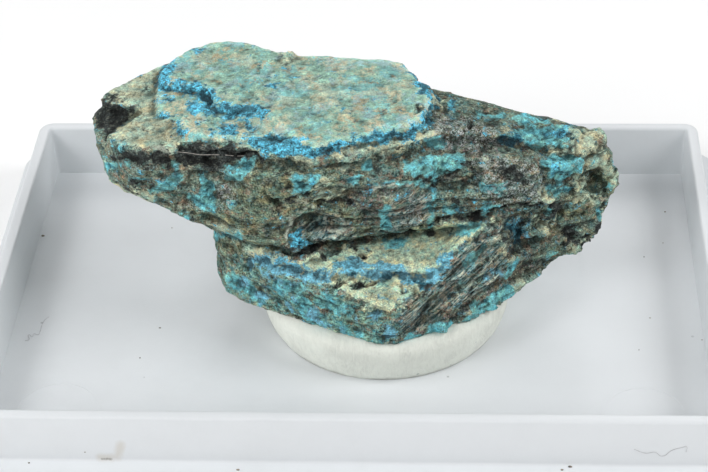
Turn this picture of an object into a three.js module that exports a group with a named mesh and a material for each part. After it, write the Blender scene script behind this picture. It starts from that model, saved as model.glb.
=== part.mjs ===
// A hand specimen of decrespignyite, a blue and green rare-earth carbonate, as a crust on layered schist.
// The stone stands on a round pad of white mounting putty, in the open white base of a small specimen box.
// Millimetres, +Z up. The origin is the middle of the box's underside, and the front faces -Y.
import * as THREE from "three";
import { ImprovedNoise } from "three/addons/math/ImprovedNoise.js";

// The box base: a shallow moulded tray whose wall stands on a wider foot, which a lid would sit on
const TRAY = {
  innerWidth: 40, // across the inside of the rim, left to right
  innerDepth: 27.2,
  wall: 0.7,
  floorZ: 1.2, // top of the inside floor
  ledgeZ: 1.65, // top of the foot outside the wall
  rimZ: 4.5,
  footReach: 1.3, // how far the foot stands out from the wall
  draft: 0.045, // lean of the moulded walls, as a slope
  innerCorner: 0.4,
  outerCorner: 0.75, // at the outside of the wall
  edge: 0.15, // roll of the outer edges
};

// The putty pad
const PAD = {
  centre: [1.75, -0.5],
  footRadius: 6.5,
  bulgeRadius: 7.15,
  topRadius: 6.6,
  height: 2.8,
  segments: 36,
};

const restZ = TRAY.floorZ + PAD.height; // the stone's flat underside

// The stone is a stack of outlines, each with a point in the same 19 places round it, counted from
// the left end along the front (1 to 9), round the right end (10 to 12) and back along the rear.
const OUTLINES = {
  base: [
    [-7.9, 0.6, restZ], [-7.8, -0.6, restZ], [-7.6, -1.6, restZ], [-7.0, -2.7, restZ],
    [-4.6, -4.6, restZ], [-1.4, -6.1, restZ], [1.9, -7.5, restZ], [4.4, -6.3, restZ],
    [6.8, -4.9, restZ], [8.6, -3.4, restZ], [9.5, -2.0, restZ], [9.9, 0.2, restZ],
    [9.0, 2.6, restZ], [6.8, 3.8, restZ], [3.6, 4.6, restZ], [-0.4, 5.0, restZ],
    [-4.4, 4.6, restZ], [-6.8, 3.2, restZ], [-7.7, 1.8, restZ],
  ],
  // outer edge of the step that juts out below the main slab
  brow: [
    [-8.0, 0.6, 6.2], [-7.9, -0.8, 6.4], [-7.7, -1.9, 6.6], [-7.1, -2.9, 7.0],
    [-4.8, -4.6, 7.1], [-1.2, -6.1, 7.0], [2.8, -7.3, 6.2], [4.6, -5.6, 6.8],
    [6.3, -4.4, 8.1], [8.4, -3.0, 8.0], [11.6, -0.8, 4.9], [14.0, 0.4, 6.2],
    [12.2, 3.6, 6.6], [8.4, 4.8, 6.2], [4.0, 5.6, 6.2], [-0.6, 6.0, 6.2],
    [-5.2, 5.6, 6.3], [-7.4, 4.0, 6.3], [-7.9, 2.2, 6.2],
  ],
  // foot of the thin blue plate that lies on the step
  plate: [
    [-8.0, 0.6, 6.8], [-7.9, -0.9, 7.0], [-7.6, -1.9, 7.1], [-6.9, -2.8, 7.3],
    [-4.8, -4.3, 7.4], [-1.0, -5.5, 7.2], [2.4, -4.7, 6.8], [4.6, -4.9, 7.0],
    [6.3, -3.9, 8.2], [8.5, -2.6, 8.1], [11.7, -0.6, 6.0], [14.2, 0.6, 6.8],
    [12.6, 3.9, 7.2], [8.6, 5.1, 7.0], [4.1, 5.9, 7.0], [-0.8, 6.3, 7.0],
    [-5.7, 5.9, 7.1], [-8.0, 4.2, 7.2], [-8.3, 2.2, 7.0],
  ],
  // where the step runs in under the slab
  neck: [
    [-8.1, 0.6, 7.6], [-7.9, -0.9, 7.6], [-7.6, -2.0, 7.7], [-6.7, -2.8, 8.0],
    [-4.8, -3.8, 8.2], [-1.8, -3.4, 8.0], [2.5, -2.2, 7.8], [5.0, -2.1, 8.0],
    [6.8, -2.5, 8.6], [8.9, -1.8, 8.5], [11.9, -0.4, 6.9], [14.5, 0.9, 7.6],
    [13.0, 4.2, 8.0], [8.8, 5.4, 8.0], [4.2, 6.2, 8.0], [-1.0, 6.6, 8.0],
    [-6.4, 6.2, 8.2], [-9.2, 4.5, 8.4], [-9.2, 2.2, 8.0],
  ],
  // lower edge of the main slab
  lip: [
    [-13.7, 0.3, 10.3], [-13.4, -1.6, 10.7], [-11.3, -2.9, 10.7], [-8.6, -3.9, 9.9],
    [-5.2, -4.8, 9.1], [-1.6, -4.3, 8.6], [2.6, -3.5, 8.9], [5.0, -2.9, 8.9],
    [7.7, -2.4, 8.9], [10.6, -1.2, 9.1], [12.7, 0.2, 8.3], [14.8, 1.2, 8.9],
    [13.4, 4.2, 9.4], [9.2, 5.6, 9.4], [4.6, 6.6, 9.4], [-1.2, 7.2, 9.6],
    [-7.6, 7.2, 10.0], [-11.8, 5.1, 10.4], [-13.5, 2.5, 10.4],
  ],
  // top of the dark layers, which show in the notch at the left end
  shoulder: [
    [-14.5, 1.0, 12.8], [-13.4, -1.7, 12.9], [-11.4, -3.0, 12.9], [-9.0, -3.3, 13.0],
    [-5.5, -4.1, 13.1], [-1.8, -4.5, 13.0], [2.8, -3.5, 12.7], [5.1, -2.0, 12.8],
    [7.8, -1.6, 12.3], [10.6, -1.1, 11.6], [12.8, 0.2, 11.0], [14.5, 1.2, 11.0],
    [13.3, 3.4, 10.8], [9.4, 4.1, 11.5], [5.0, 5.0, 12.2], [-1.2, 6.2, 13.0],
    [-7.9, 7.6, 13.0], [-12.2, 5.2, 12.9], [-14.5, 2.3, 13.0],
  ],
  // upper edge of the pale top layer, notched at the left end
  rim: [
    [-11.6, 1.2, 13.8], [-13.3, -1.7, 13.8], [-11.3, -2.9, 13.85], [-9.0, -2.9, 13.9],
    [-5.6, -3.1, 13.9], [-1.6, -3.9, 13.9], [2.8, -2.4, 13.9], [5.0, -1.2, 13.7],
    [7.7, -0.3, 13.2], [10.4, 0.3, 12.3], [12.7, 0.5, 11.8], [14.2, 1.3, 11.8],
    [13.2, 2.9, 11.4], [9.4, 3.3, 12.2], [4.8, 4.0, 12.7], [-1.2, 5.9, 13.6],
    [-7.9, 7.6, 13.9], [-12.4, 4.8, 13.8], [-14.2, 2.2, 13.8],
  ],
  // foot of the blue-green crust that covers most of the top
  crust: [
    [-11.0, 1.9, 13.95], [-10.8, 0.1, 13.95], [-9.6, -0.8, 13.95], [-8.8, -2.2, 13.95],
    [-5.6, -2.7, 13.95], [-1.7, -3.6, 13.95], [2.5, -1.9, 13.95], [3.9, -1.0, 13.95],
    [4.2, -0.1, 13.95], [4.7, 1.3, 13.95], [4.3, 2.7, 13.95], [3.7, 3.4, 13.95],
    [3.6, 4.0, 13.7], [2.9, 5.2, 13.0], [0.6, 5.6, 13.3], [-3.6, 6.4, 13.95],
    [-7.8, 7.8, 13.95], [-10.4, 5.8, 13.95], [-11.1, 4.1, 13.95],
  ],
  // edge of the crust's thicker part, which stands back from the left front
  plateau: [
    [-10.6, 2.8, 14.2], [-9.2, 2.5, 14.2], [-8.0, 1.9, 14.2], [-7.3, 0.4, 14.2],
    [-5.1, -0.8, 14.2], [-1.9, -3.4, 14.2], [2.4, -1.8, 14.2], [3.8, -0.9, 14.2],
    [4.1, 0.0, 14.2], [4.5, 1.3, 14.2], [4.1, 2.6, 14.2], [3.5, 3.3, 14.2],
    [3.4, 4.0, 14.2], [2.7, 5.1, 14.2], [0.5, 5.5, 14.2], [-3.6, 6.2, 14.2],
    [-7.7, 7.6, 14.2], [-10.2, 5.7, 14.2], [-10.9, 4.1, 14.2],
  ],
};

const STONE = {
  around: 92, // points round each outline
  plateThick: 0.4,
  plateauThick: 0.3,
  topCentre: [-2.2, 1.8],
  layerRelief: 0.3, // how far single layers stand out or hang back
  layerGap: 0.1, // share of a layer's height taken by the step between two layers
};

// Lumps and hollows: [x, y, z], radius, and how far the face moves out (or in, when negative)
const FORMS = [
  [[8.2, -1.9, 11.0], 2.2, 0.6], // dark rounded boss at the right of the front
  [[2.4, -3.8, 11.5], 1.7, 0.6], // grey block in the middle of the front
  [[-0.9, -4.4, 11.3], 1.0, -0.5], // hollow beside it
  [[-1.8, -4.6, 9.9], 1.2, -0.75], // recess below, right of the sharp fold
  [[-4.2, -4.8, 10.2], 1.2, 0.4], // the fold
  [[-3.0, -4.5, 8.5], 0.9, 0.45], // tongue that laps onto the step
  [[13.8, 0.6, 9.4], 0.9, -0.8], // pit near the right end
  [[12.9, 0.1, 8.0], 1.0, 0.4],
  [[9.9, -1.8, 7.4], 1.1, -0.8], // deep corner between the step and the right end
  [[11.6, -0.8, 10.2], 0.9, -0.35],
  [[-11.5, -3.1, 11.8], 1.6, 0.25],
  [[-7.4, -3.9, 12.6], 1.8, -0.4], // long shadowed groove below the top edge
];

const noise = new ImprovedNoise();

// Layered noise, -1 to 1, whose largest features are 1/frequency mm across
function rough(x, y, z, frequency, octaves = 3) {
  let sum = 0;
  let weight = 1;
  let total = 0;
  for (let i = 0; i < octaves; i++) {
    sum += weight * noise.noise(x * frequency + 11.3 * i, y * frequency - 4.7 * i, z * frequency + 2.9 * i);
    total += weight;
    weight *= 0.5;
    frequency *= 2.1;
  }
  return (sum / total) * 1.6;
}

// One closed solid through a stack of rings of equal length, bottom first, each running
// anticlockwise seen from above, with a flat fan over the first and the last.
function loft(rings) {
  const count = rings[0].length;
  const positions = [];
  for (const ring of rings) for (const p of ring) positions.push(p.x, p.y, p.z);
  const index = [];
  for (let r = 0; r + 1 < rings.length; r++) {
    for (let i = 0; i < count; i++) {
      const j = (i + 1) % count;
      const [a, b, c, d] = [r * count + i, r * count + j, (r + 1) * count + j, (r + 1) * count + i];
      index.push(a, b, c, a, c, d);
    }
  }
  const middle = (ring) => ring.reduce((m, p) => m.add(p), new THREE.Vector3()).divideScalar(count);
  const bottom = positions.length / 3;
  for (const p of [middle(rings[0]), middle(rings.at(-1))]) positions.push(p.x, p.y, p.z);
  const last = (rings.length - 1) * count;
  for (let i = 0; i < count; i++) {
    const j = (i + 1) % count;
    index.push(j, i, bottom);
    index.push(last + i, last + j, bottom + 1);
  }
  const geometry = new THREE.BufferGeometry();
  geometry.setAttribute("position", new THREE.Float32BufferAttribute(positions, 3));
  geometry.setIndex(index);
  geometry.computeVertexNormals();
  return geometry;
}

// A rounded rectangle at height z, anticlockwise from above
function roundedRectangle(width, depth, corner, z, steps = 6) {
  const points = [];
  const turns = [[1, -1, -90], [1, 1, 0], [-1, 1, 90], [-1, -1, 180]];
  for (const [sx, sy, start] of turns) {
    for (let i = 0; i <= steps; i++) {
      const angle = THREE.MathUtils.degToRad(start + (90 * i) / steps);
      const x = sx * (width / 2 - corner) + corner * Math.cos(angle);
      const y = sy * (depth / 2 - corner) + corner * Math.sin(angle);
      points.push(new THREE.Vector3(x, y, z));
    }
  }
  return points;
}

// The tray, built like a turned profile but round a rectangle: each step is the distance outside
// the inner rim, and the height
function makeTray() {
  const { innerWidth, innerDepth, wall, floorZ, ledgeZ, rimZ, footReach, draft, edge } = TRAY;
  const foot = wall + footReach;
  const deep = rimZ - floorZ;
  const profile = [
    [foot - edge, 0],
    [foot, edge],
    [foot, ledgeZ - edge],
    [foot - edge, ledgeZ],
    [wall + draft * (rimZ - ledgeZ), ledgeZ],
    [wall, rimZ - edge],
    [wall - 0.3 * edge, rimZ - 0.3 * edge],
    [wall - edge, rimZ],
    [edge, rimZ],
    [0.3 * edge, rimZ - 0.3 * edge],
    [0, rimZ - edge],
    [-draft * deep, floorZ + edge],
    [-draft * deep - edge, floorZ],
  ];
  const corner = (out) => (out > wall / 2 ? TRAY.outerCorner + out - wall : TRAY.innerCorner + out);
  const rings = profile.map(([out, z]) =>
    roundedRectangle(innerWidth + 2 * out, innerDepth + 2 * out, corner(out), z),
  );
  return loft(rings);
}

// The putty pad: a puck whose side bulges and whose top edge is soft
function makePad() {
  const { footRadius, bulgeRadius, topRadius, height, segments } = PAD;
  const side = new THREE.CatmullRomCurve3([
    new THREE.Vector3(footRadius, 0, 0),
    new THREE.Vector3(bulgeRadius - 0.15, 0.35 * height, 0),
    new THREE.Vector3(bulgeRadius, 0.7 * height, 0),
    new THREE.Vector3(bulgeRadius - 0.12, 0.92 * height, 0),
    new THREE.Vector3(topRadius, height, 0),
  ]).getPoints(7);
  const profile = [
    new THREE.Vector2(0, 0),
    ...side.map((p) => new THREE.Vector2(p.x, p.y)),
    new THREE.Vector2(0, height),
  ];
  return new THREE.LatheGeometry(profile, segments).rotateX(Math.PI / 2);
}

// A closed outline through the given corners, with the same number of points whatever its length.
// places says how far round, in corners, each point lies.
function smoothOutline(corners, places) {
  const count = corners.length;
  const at = (i) => new THREE.Vector3(...corners[((i % count) + count) % count]);
  return places.map((place) => {
    const i = Math.floor(place);
    const t = place - i;
    const [a, b, c, d] = [at(i - 1), at(i), at(i + 1), at(i + 2)];
    const curve = new THREE.CubicBezierCurve3(
      b,
      b.clone().addScaledVector(c.clone().sub(a), 1 / 9),
      c.clone().addScaledVector(d.clone().sub(b), -1 / 9),
      c,
    );
    return curve.getPoint(t);
  });
}

// Places round the stone, closer together in corners where the corners lie far apart
function evenPlaces(corners, count) {
  const points = corners.map((p) => new THREE.Vector3(...p));
  const sides = points.map((p, i) => p.distanceTo(points[(i + 1) % points.length]));
  const total = sides.reduce((a, b) => a + b, 0);
  const places = [];
  let corner = 0;
  let passed = 0;
  for (let i = 0; i < count; i++) {
    const goal = (total * i) / count;
    while (passed + sides[corner] <= goal) passed += sides[corner++];
    places.push(corner + (goal - passed) / sides[corner]);
  }
  return places;
}

// The same ring moved outwards, in plan, by offset(point, index)
function pushed(ring, offset) {
  const count = ring.length;
  return ring.map((p, i) => {
    const along = ring[(i + 1) % count].clone().sub(ring[(i + count - 1) % count]);
    const out = new THREE.Vector3(along.y, -along.x, 0).normalize();
    return p.clone().addScaledVector(out, offset(p, i));
  });
}

const between = (a, b, t) => a.map((p, i) => p.clone().lerp(b[i], t));

// Layers of rock from one outline up to the next: each is a band with a small step above it
function layers(lower, upper, count, seed) {
  const rings = [];
  for (let i = 0; i < count; i++) {
    const shift = (p) => STONE.layerRelief * rough(p.x, p.y, seed + 5.3 * i, 0.33);
    for (const t of [i + STONE.layerGap, i + 1 - STONE.layerGap]) {
      rings.push(pushed(between(lower, upper, t / count), shift));
    }
  }
  return rings;
}

// Plain rings between two outlines, both ends left out
const filled = (lower, upper, count) =>
  Array.from({ length: count }, (_, i) => between(lower, upper, (i + 1) / (count + 1)));

function makeStone() {
  const places = evenPlaces(OUTLINES.rim, STONE.around);
  const outline = Object.fromEntries(
    Object.entries(OUTLINES).map(([name, corners]) => [name, smoothOutline(corners, places)]),
  );
  const { base, brow, plate, neck, lip, shoulder, rim, crust, plateau } = outline;
  const raised = (ring, height) => ring.map((p) => p.clone().setZ(p.z + height));
  const rimFoot = rim.map((p, i) => p.clone().setZ(0.35 * p.z + 0.65 * shoulder[i].z));
  const crustTop = crust.map((p, i) => p.clone().lerp(plateau[i], 0.15).setZ(plateau[i].z));
  const top = raised(plateau, STONE.plateauThick);
  const centre = new THREE.Vector3(...STONE.topCentre, top[0].z);
  const toCentre = (t) => top.map((p) => p.clone().lerp(centre, t));
  const rings = [
    base,
    ...layers(base, brow, 4, 20),
    brow,
    between(brow, plate, 0.5),
    plate,
    raised(plate, STONE.plateThick),
    between(raised(plate, STONE.plateThick), neck, 0.5),
    neck,
    ...filled(neck, lip, 2),
    lip,
    ...layers(lip, shoulder, 6, 60),
    shoulder,
    rimFoot,
    rim,
    ...filled(rim, crust, 3),
    crust,
    crustTop,
    between(crustTop, plateau, 0.5),
    plateau,
    top,
    ...[0.05, 0.2, 0.38, 0.56, 0.72, 0.86].map(toCentre),
  ];
  const geometry = loft(rings);
  const position = geometry.getAttribute("position");
  const normal = geometry.getAttribute("normal");
  const p = new THREE.Vector3();
  const n = new THREE.Vector3();
  for (let i = 0; i < position.count; i++) {
    p.fromBufferAttribute(position, i);
    n.fromBufferAttribute(normal, i);
    if (p.z <= restZ) continue;
    const steep = 1 - Math.abs(n.z);
    let move = 0.16 * rough(p.x, p.y, p.z, 0.45) + 0.1 * steep * rough(p.x, p.y, p.z, 1.3, 2);
    for (const [place, radius, depth] of FORMS) {
      const away = p.distanceTo(new THREE.Vector3(...place)) / radius;
      move += depth * Math.exp(-away * away * 1.5);
    }
    p.addScaledVector(n, move);
    p.z = Math.max(p.z, restZ);
    position.setXYZ(i, p.x, p.y, p.z);
  }
  return geometry;
}

const finish = (color, roughness) => new THREE.MeshStandardMaterial({ color, roughness, metalness: 0 });

function piece(name, geometry, material, place = [0, 0, 0]) {
  const mesh = new THREE.Mesh(geometry, material);
  mesh.name = name;
  mesh.position.set(...place);
  return mesh;
}

const specimen = new THREE.Group();
specimen.name = "decrespignyite_specimen";
specimen.add(
  piece("box_base", makeTray(), finish(0xe4e8ea, 0.35)),
  piece("putty_pad", makePad(), finish(0xdcddd4, 0.8), [...PAD.centre, TRAY.floorZ]),
  piece("specimen", makeStone(), finish(0x6f8f86, 0.85)),
);

export default specimen;
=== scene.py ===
"""The looks of a decrespignyite specimen: its stone, its putty pad and the box base it stands in."""

import math

import bmesh
import bpy
import numpy as np
from bpy.props import FloatProperty, FloatVectorProperty, PointerProperty
from mathutils import Matrix, Vector, noise
from mathutils.bvhtree import BVHTree


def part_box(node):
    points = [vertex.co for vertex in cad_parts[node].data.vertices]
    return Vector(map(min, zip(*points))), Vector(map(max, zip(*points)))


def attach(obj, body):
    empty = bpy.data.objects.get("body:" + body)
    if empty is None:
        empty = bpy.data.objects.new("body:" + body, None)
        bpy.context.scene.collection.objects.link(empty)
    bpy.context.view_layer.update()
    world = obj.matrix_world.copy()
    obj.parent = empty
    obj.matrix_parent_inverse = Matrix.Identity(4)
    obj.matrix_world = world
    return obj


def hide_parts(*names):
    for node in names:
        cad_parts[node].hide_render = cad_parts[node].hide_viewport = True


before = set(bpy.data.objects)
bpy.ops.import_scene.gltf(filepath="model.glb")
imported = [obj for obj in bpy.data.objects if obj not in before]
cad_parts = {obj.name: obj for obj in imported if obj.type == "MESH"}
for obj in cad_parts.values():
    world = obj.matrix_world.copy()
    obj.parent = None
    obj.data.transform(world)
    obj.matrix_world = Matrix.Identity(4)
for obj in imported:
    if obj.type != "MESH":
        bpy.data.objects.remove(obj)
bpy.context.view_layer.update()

bl_info = {
    "name": "Decrespignyite specimen",
    "version": (1, 0, 0),
    "blender": (4, 5, 0),
    "location": "View3D > Sidebar > Specimen",
    "description": "Builds the visual model of a mineral specimen in the base of its box",
    "category": "Object",
}

MM = 0.001
BOX_LOW, BOX_HIGH = (np.array(corner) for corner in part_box("box_base"))
PAD_LOW, PAD_HIGH = (np.array(corner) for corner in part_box("putty_pad"))
STONE_LOW, STONE_HIGH = (np.array(corner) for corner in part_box("specimen"))

# The photographer's camera: a place in millimetres, angles in degrees and the photo's own pixels
PHOTO_SIZE = (708, 472)
CAMERA_PLACE = Vector((6.776, -97.14, 76.175))
CAMERA_YAW = -4.01
CAMERA_DOWN = 35.78
CAMERA_ROLL = -2.13
FOCAL_PIXELS = 2100.0


# Sizes and colours that a user would change

def length_setting(name, description, millimetres):
    return FloatProperty(name=name, description=description, default=millimetres * MM, unit="LENGTH")


def color_setting(name, description, color):
    return FloatVectorProperty(name=name, description=description, subtype="COLOR", size=3, min=0, max=1,
                               default=color)


class BoxSettings(bpy.types.PropertyGroup):
    """The moulded box base."""

    wall: length_setting("Wall", "Thickness of the wall at the rim", 0.7)
    foot: length_setting("Foot", "How far the foot stands out", 1.3)
    ledge: length_setting("Foot height", "Top of the foot", 1.65)
    corner: length_setting("Corner", "Radius of the foot's corners", 2.05)
    soft: length_setting("Edge", "Rounding of the moulded edges", 0.16)
    mark: length_setting("Mould mark", "Radius of the round marks", 2.4)
    color: color_setting("Plastic", "Colour of the plastic", (0.72, 0.745, 0.765))
    smear: color_setting("Smear", "Colour of the dirt smear", (0.5, 0.44, 0.34))


class PadSettings(bpy.types.PropertyGroup):
    """The putty pad."""

    lumps: length_setting("Lumps", "Unevenness of the putty", 0.06)
    color: color_setting("Putty", "Colour of the putty", (0.78, 0.8, 0.73))


class StoneSettings(bpy.types.PropertyGroup):
    """The stone."""

    detail: length_setting("Detail", "Size of the mesh's faces", 0.135)
    layer: length_setting("Layer", "Thickness of a rock layer", 0.42)
    relief: length_setting("Relief", "How far layers stand out", 0.2)
    grain: length_setting("Grain", "Height of the rock's grains", 0.05)
    rock: color_setting("Rock", "Bare dark rock", (0.112, 0.14, 0.113))
    olive: color_setting("Olive", "Olive-brown rock", (0.165, 0.19, 0.12))
    grey: color_setting("Grey", "Grey schistose rock", (0.088, 0.103, 0.085))
    sage: color_setting("Sage", "Rock stained teal-green", (0.17, 0.31, 0.262))
    brown: color_setting("Brown", "Brown stains", (0.3, 0.205, 0.15))
    tan: color_setting("Tan", "Weathered tan rock", (0.43, 0.49, 0.37))
    # Pale sandy rock, its colour made paler still as painted light where the step lies under the overhang.
    sand: color_setting("Sand", "Pale sandy rock on the step", (0.57, 0.65, 0.47))
    turquoise: color_setting("Turquoise", "Thin turquoise film", (0.16, 0.465, 0.505))
    crust: color_setting("Crust", "Grey-green crust", (0.275, 0.46, 0.365))
    blue: color_setting("Blue", "Blue fringe of the crust", (0.1, 0.425, 0.575))
    # Black is also painted into deep cracks and shadowed recesses, as painted shade.
    black: color_setting("Black", "Black rock and deep cracks", (0.022, 0.027, 0.026))


class StageSettings(bpy.types.PropertyGroup):
    """The floor and the lights."""

    floor: color_setting("Floor", "Colour of the floor", (0.95, 0.95, 0.95))
    sky: FloatProperty(name="Sky", description="Strength of the light from all round", default=0.05, min=0)
    power: FloatProperty(name="Lamps", description="Power of all lamps in watts", default=1.21, min=0)


# Each lamp: where it stands and how wide it is, in millimetres, and its share of the power
LAMPS = {
    "right": ((180, -40, 150), 120, 0.25),
    "front left": ((-150, -150, 150), 100, 0.2),
    "low left": ((-220, -40, 70), 100, 0.11),
    "high left": ((-120, -30, 220), 90, 0.07),
    "front": ((0, -200, 180), 120, 0.09),
    "back": ((0, 220, 160), 120, 0.09),
    "back left": ((-150, 150, 170), 100, 0.1),
    "back right": ((150, 150, 170), 100, 0.09),
}


# Meshes

def select_only(piece):
    """Nothing but this piece is selected, and it is the active object."""
    bpy.ops.object.select_all(action="DESELECT")
    piece.select_set(True)
    bpy.context.view_layer.objects.active = piece


def apply_modifier(piece, kind, **settings):
    """Adds a modifier, sets it and applies it."""
    select_only(piece)
    modifier = piece.modifiers.new(kind.title(), kind)
    for name, value in settings.items():
        setattr(modifier, name, value)
    bpy.ops.object.modifier_apply(modifier=modifier.name)


def pick(piece, kind, test):
    """In edit mode, selects the vertices, edges or faces that pass the test, and no others."""
    bpy.ops.mesh.select_mode(type={"verts": "VERT", "edges": "EDGE", "faces": "FACE"}[kind])
    bpy.ops.mesh.select_all(action="DESELECT")
    mesh = bmesh.from_edit_mesh(piece.data)
    chosen = [part for part in getattr(mesh, kind) if test(part)]
    for part in chosen:
        part.select_set(True)
    bmesh.update_edit_mesh(piece.data)
    if not chosen:
        raise RuntimeError(f"nothing to select on {piece.name}")


def settle(piece, name, node, slot, *materials):
    """Names a finished piece, puts its place in its mesh and ties it to the frame."""
    select_only(piece)
    bpy.ops.object.transform_apply(location=True, rotation=True, scale=True)
    piece.name = name
    piece.data.name = name
    piece.data.materials.clear()
    for material in materials:
        piece.data.materials.append(material)
    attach(piece, "root")
    if node:
        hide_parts(node)
    return piece


def join(pieces):
    """Joins pieces into the first one."""
    select_only(pieces[0])
    for piece in pieces:
        piece.select_set(True)
    bpy.ops.object.join()
    return pieces[0]


# Materials

EVEN = (1000, 1000, 1000)  # steps of noise in a metre along each axis, so one in a millimetre


class Value:
    """A number in a material. Sums on it add Math nodes."""

    def __init__(self, paint, socket):
        self.paint = paint
        self.socket = socket

    def sum(self, operation, *values):
        return self.paint.number("ShaderNodeMath", {"operation": operation}, dict(enumerate(values)))

    def __add__(self, other):
        return self.sum("ADD", self, other)

    def __sub__(self, other):
        return self.sum("SUBTRACT", self, other)

    def __mul__(self, other):
        return self.sum("MULTIPLY", self, other)

    def __truediv__(self, other):
        return self.sum("DIVIDE", self, other)

    def __rsub__(self, other):
        return self.sum("SUBTRACT", other, self)

    __radd__ = __add__
    __rmul__ = __mul__

    def clamp(self):
        return self.sum("MINIMUM", self.sum("MAXIMUM", self, 0.0), 1.0)

    def higher(self, other):
        return self.sum("MAXIMUM", self, other)

    def away(self, middle):
        """How far the value lies from a middle one."""
        return self.sum("ABSOLUTE", self - middle)

    def step(self, edge, soft):
        """0 below the edge and 1 above it, with a soft change of that width."""
        return ((self - edge) / soft + 0.5).clamp()


class Paint:
    """One material and its nodes."""

    def __init__(self, name, constants):
        self.material = bpy.data.materials.new(name)
        self.material.use_nodes = True
        self.tree = self.material.node_tree
        self.shader = self.tree.nodes["Principled BSDF"]
        for socket, value in constants.items():
            self.shader.inputs[socket].default_value = value
        self.place = self.node("ShaderNodeTexCoord").outputs["Object"]

    def node(self, kind, settings=None, inputs=None):
        """A node: its type, its settings, then the values or links of its sockets."""
        node = self.tree.nodes.new(kind)
        for name, value in (settings or {}).items():
            if name == "stops":
                self.set_stops(node.color_ramp, value)
            else:
                setattr(node, name, value)
        for name, value in (inputs or {}).items():
            socket = node.inputs[name]
            source = value.socket if isinstance(value, Value) else value
            if isinstance(source, bpy.types.NodeSocket):
                self.tree.links.new(source, socket)
            elif socket.type == "RGBA" and len(source) == 3:
                socket.default_value = (*source, 1.0)
            else:
                socket.default_value = source
        return node

    @staticmethod
    def set_stops(ramp, stops):
        while len(ramp.elements) < len(stops):
            ramp.elements.new(0.5)
        for element, (place, color) in zip(ramp.elements, stops):
            element.position = place
            element.color = (*color, 1.0)

    def number(self, kind, settings=None, inputs=None, output=0):
        return Value(self, self.node(kind, settings, inputs).outputs[output])

    def vector_number(self, operation, first, second):
        """A number made from two vectors."""
        return self.number("ShaderNodeVectorMath", {"operation": operation}, {0: first, 1: second}, "Value")

    def stretched(self, scale=EVEN, shift=(0, 0, 0)):
        """The place on the object, in units of 1/scale metres along each axis."""
        return self.node("ShaderNodeMapping", None, {"Vector": self.place, "Scale": scale,
                                                     "Location": shift}).outputs[0]

    def turned(self, along, scale):
        """The place on the object, measured first along a direction and then across it."""
        first = along.normalized()
        second = first.cross(Vector((0, 0, 1))).normalized()
        axes = [axis * size for axis, size in zip((first, second, first.cross(second)), scale)]
        dots = [self.vector_number("DOT_PRODUCT", self.place, axis) for axis in axes]
        return self.node("ShaderNodeCombineXYZ", None, dict(enumerate(dots))).outputs[0]

    def reach(self, first, last):
        """How far a point lies from the line between two places, in millimetres."""
        path = Vector(last) - Vector(first)
        settings = {"operation": "SUBTRACT"}
        away = self.node("ShaderNodeVectorMath", settings, {0: self.place, 1: first}).outputs[0]
        share = self.vector_number("DOT_PRODUCT", away, path / path.length_squared).clamp()
        return self.vector_number("DISTANCE", away, self.lit(path, share)) / MM

    def cloud(self, vector, scale, detail=3.0, rough=0.55, warp=0.0):
        """Soft noise from 0 to 1, mostly near a half."""
        return self.number("ShaderNodeTexNoise", None, {"Vector": vector, "Scale": scale, "Detail": detail,
                                                        "Roughness": rough, "Distortion": warp})

    def cells(self, vector, scale):
        """Distance from the middle of the nearest cell."""
        return self.number("ShaderNodeTexVoronoi", None, {"Vector": vector, "Scale": scale})

    def mask(self, name):
        """A mask that the piece's own mesh carries."""
        return self.number("ShaderNodeAttribute", {"attribute_name": name}, None, "Fac")

    def height_above(self):
        """How high a point lies above the ground, in millimetres."""
        return self.number("ShaderNodeSeparateXYZ", None, {"Vector": self.place}, "Z") / MM

    def ramp(self, value, stops):
        return self.node("ShaderNodeValToRGB", {"stops": stops}, {"Fac": value}).outputs["Color"]

    def mix(self, share, first, second, blend="MIX"):
        """Two colours mixed; the share is that of the second."""
        settings = {"data_type": "RGBA", "blend_type": blend}
        return self.node("ShaderNodeMix", settings, {0: share, 6: first, 7: second}).outputs[2]

    def lit(self, color, factor):
        """The colour made darker or lighter by a factor; a vector is made shorter or longer."""
        settings = {"operation": "SCALE"}
        return self.node("ShaderNodeVectorMath", settings, {0: color, "Scale": factor}).outputs[0]

    def height(self, value, distance, strength=1.0):
        inputs = {"Height": value, "Distance": distance, "Strength": strength}
        bump = self.node("ShaderNodeBump", None, inputs)
        self.tree.links.new(bump.outputs[0], self.shader.inputs["Normal"])

    def finish(self, color, roughness=None):
        self.tree.links.new(color, self.shader.inputs["Base Color"])
        if roughness:
            self.tree.links.new(roughness.socket, self.shader.inputs["Roughness"])
        return self.material


def toned(color, factor):
    return tuple(min(1.0, part * factor) for part in color)


# The photographer's view, for placing what the photo shows

def camera_axes():
    """The camera's right, up and forward directions, without its roll."""
    yaw, down = math.radians(CAMERA_YAW), math.radians(CAMERA_DOWN)
    forward = Vector((math.sin(yaw) * math.cos(down), math.cos(yaw) * math.cos(down), -math.sin(down)))
    right = Vector((math.cos(yaw), -math.sin(yaw), 0))
    return right, right.cross(forward), forward


def to_pixels(points):
    """Where points, in metres, fall in the photo."""
    right, up, forward = (np.array(axis) for axis in camera_axes())
    away = np.asarray(points) / MM - np.array(CAMERA_PLACE)
    depth = away @ forward
    x = FOCAL_PIXELS * (away @ right) / depth
    y = -FOCAL_PIXELS * (away @ up) / depth
    roll = math.radians(CAMERA_ROLL)
    return np.stack([PHOTO_SIZE[0] / 2 + x * math.cos(roll) - y * math.sin(roll),
                     PHOTO_SIZE[1] / 2 + x * math.sin(roll) + y * math.cos(roll)], axis=1)


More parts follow.
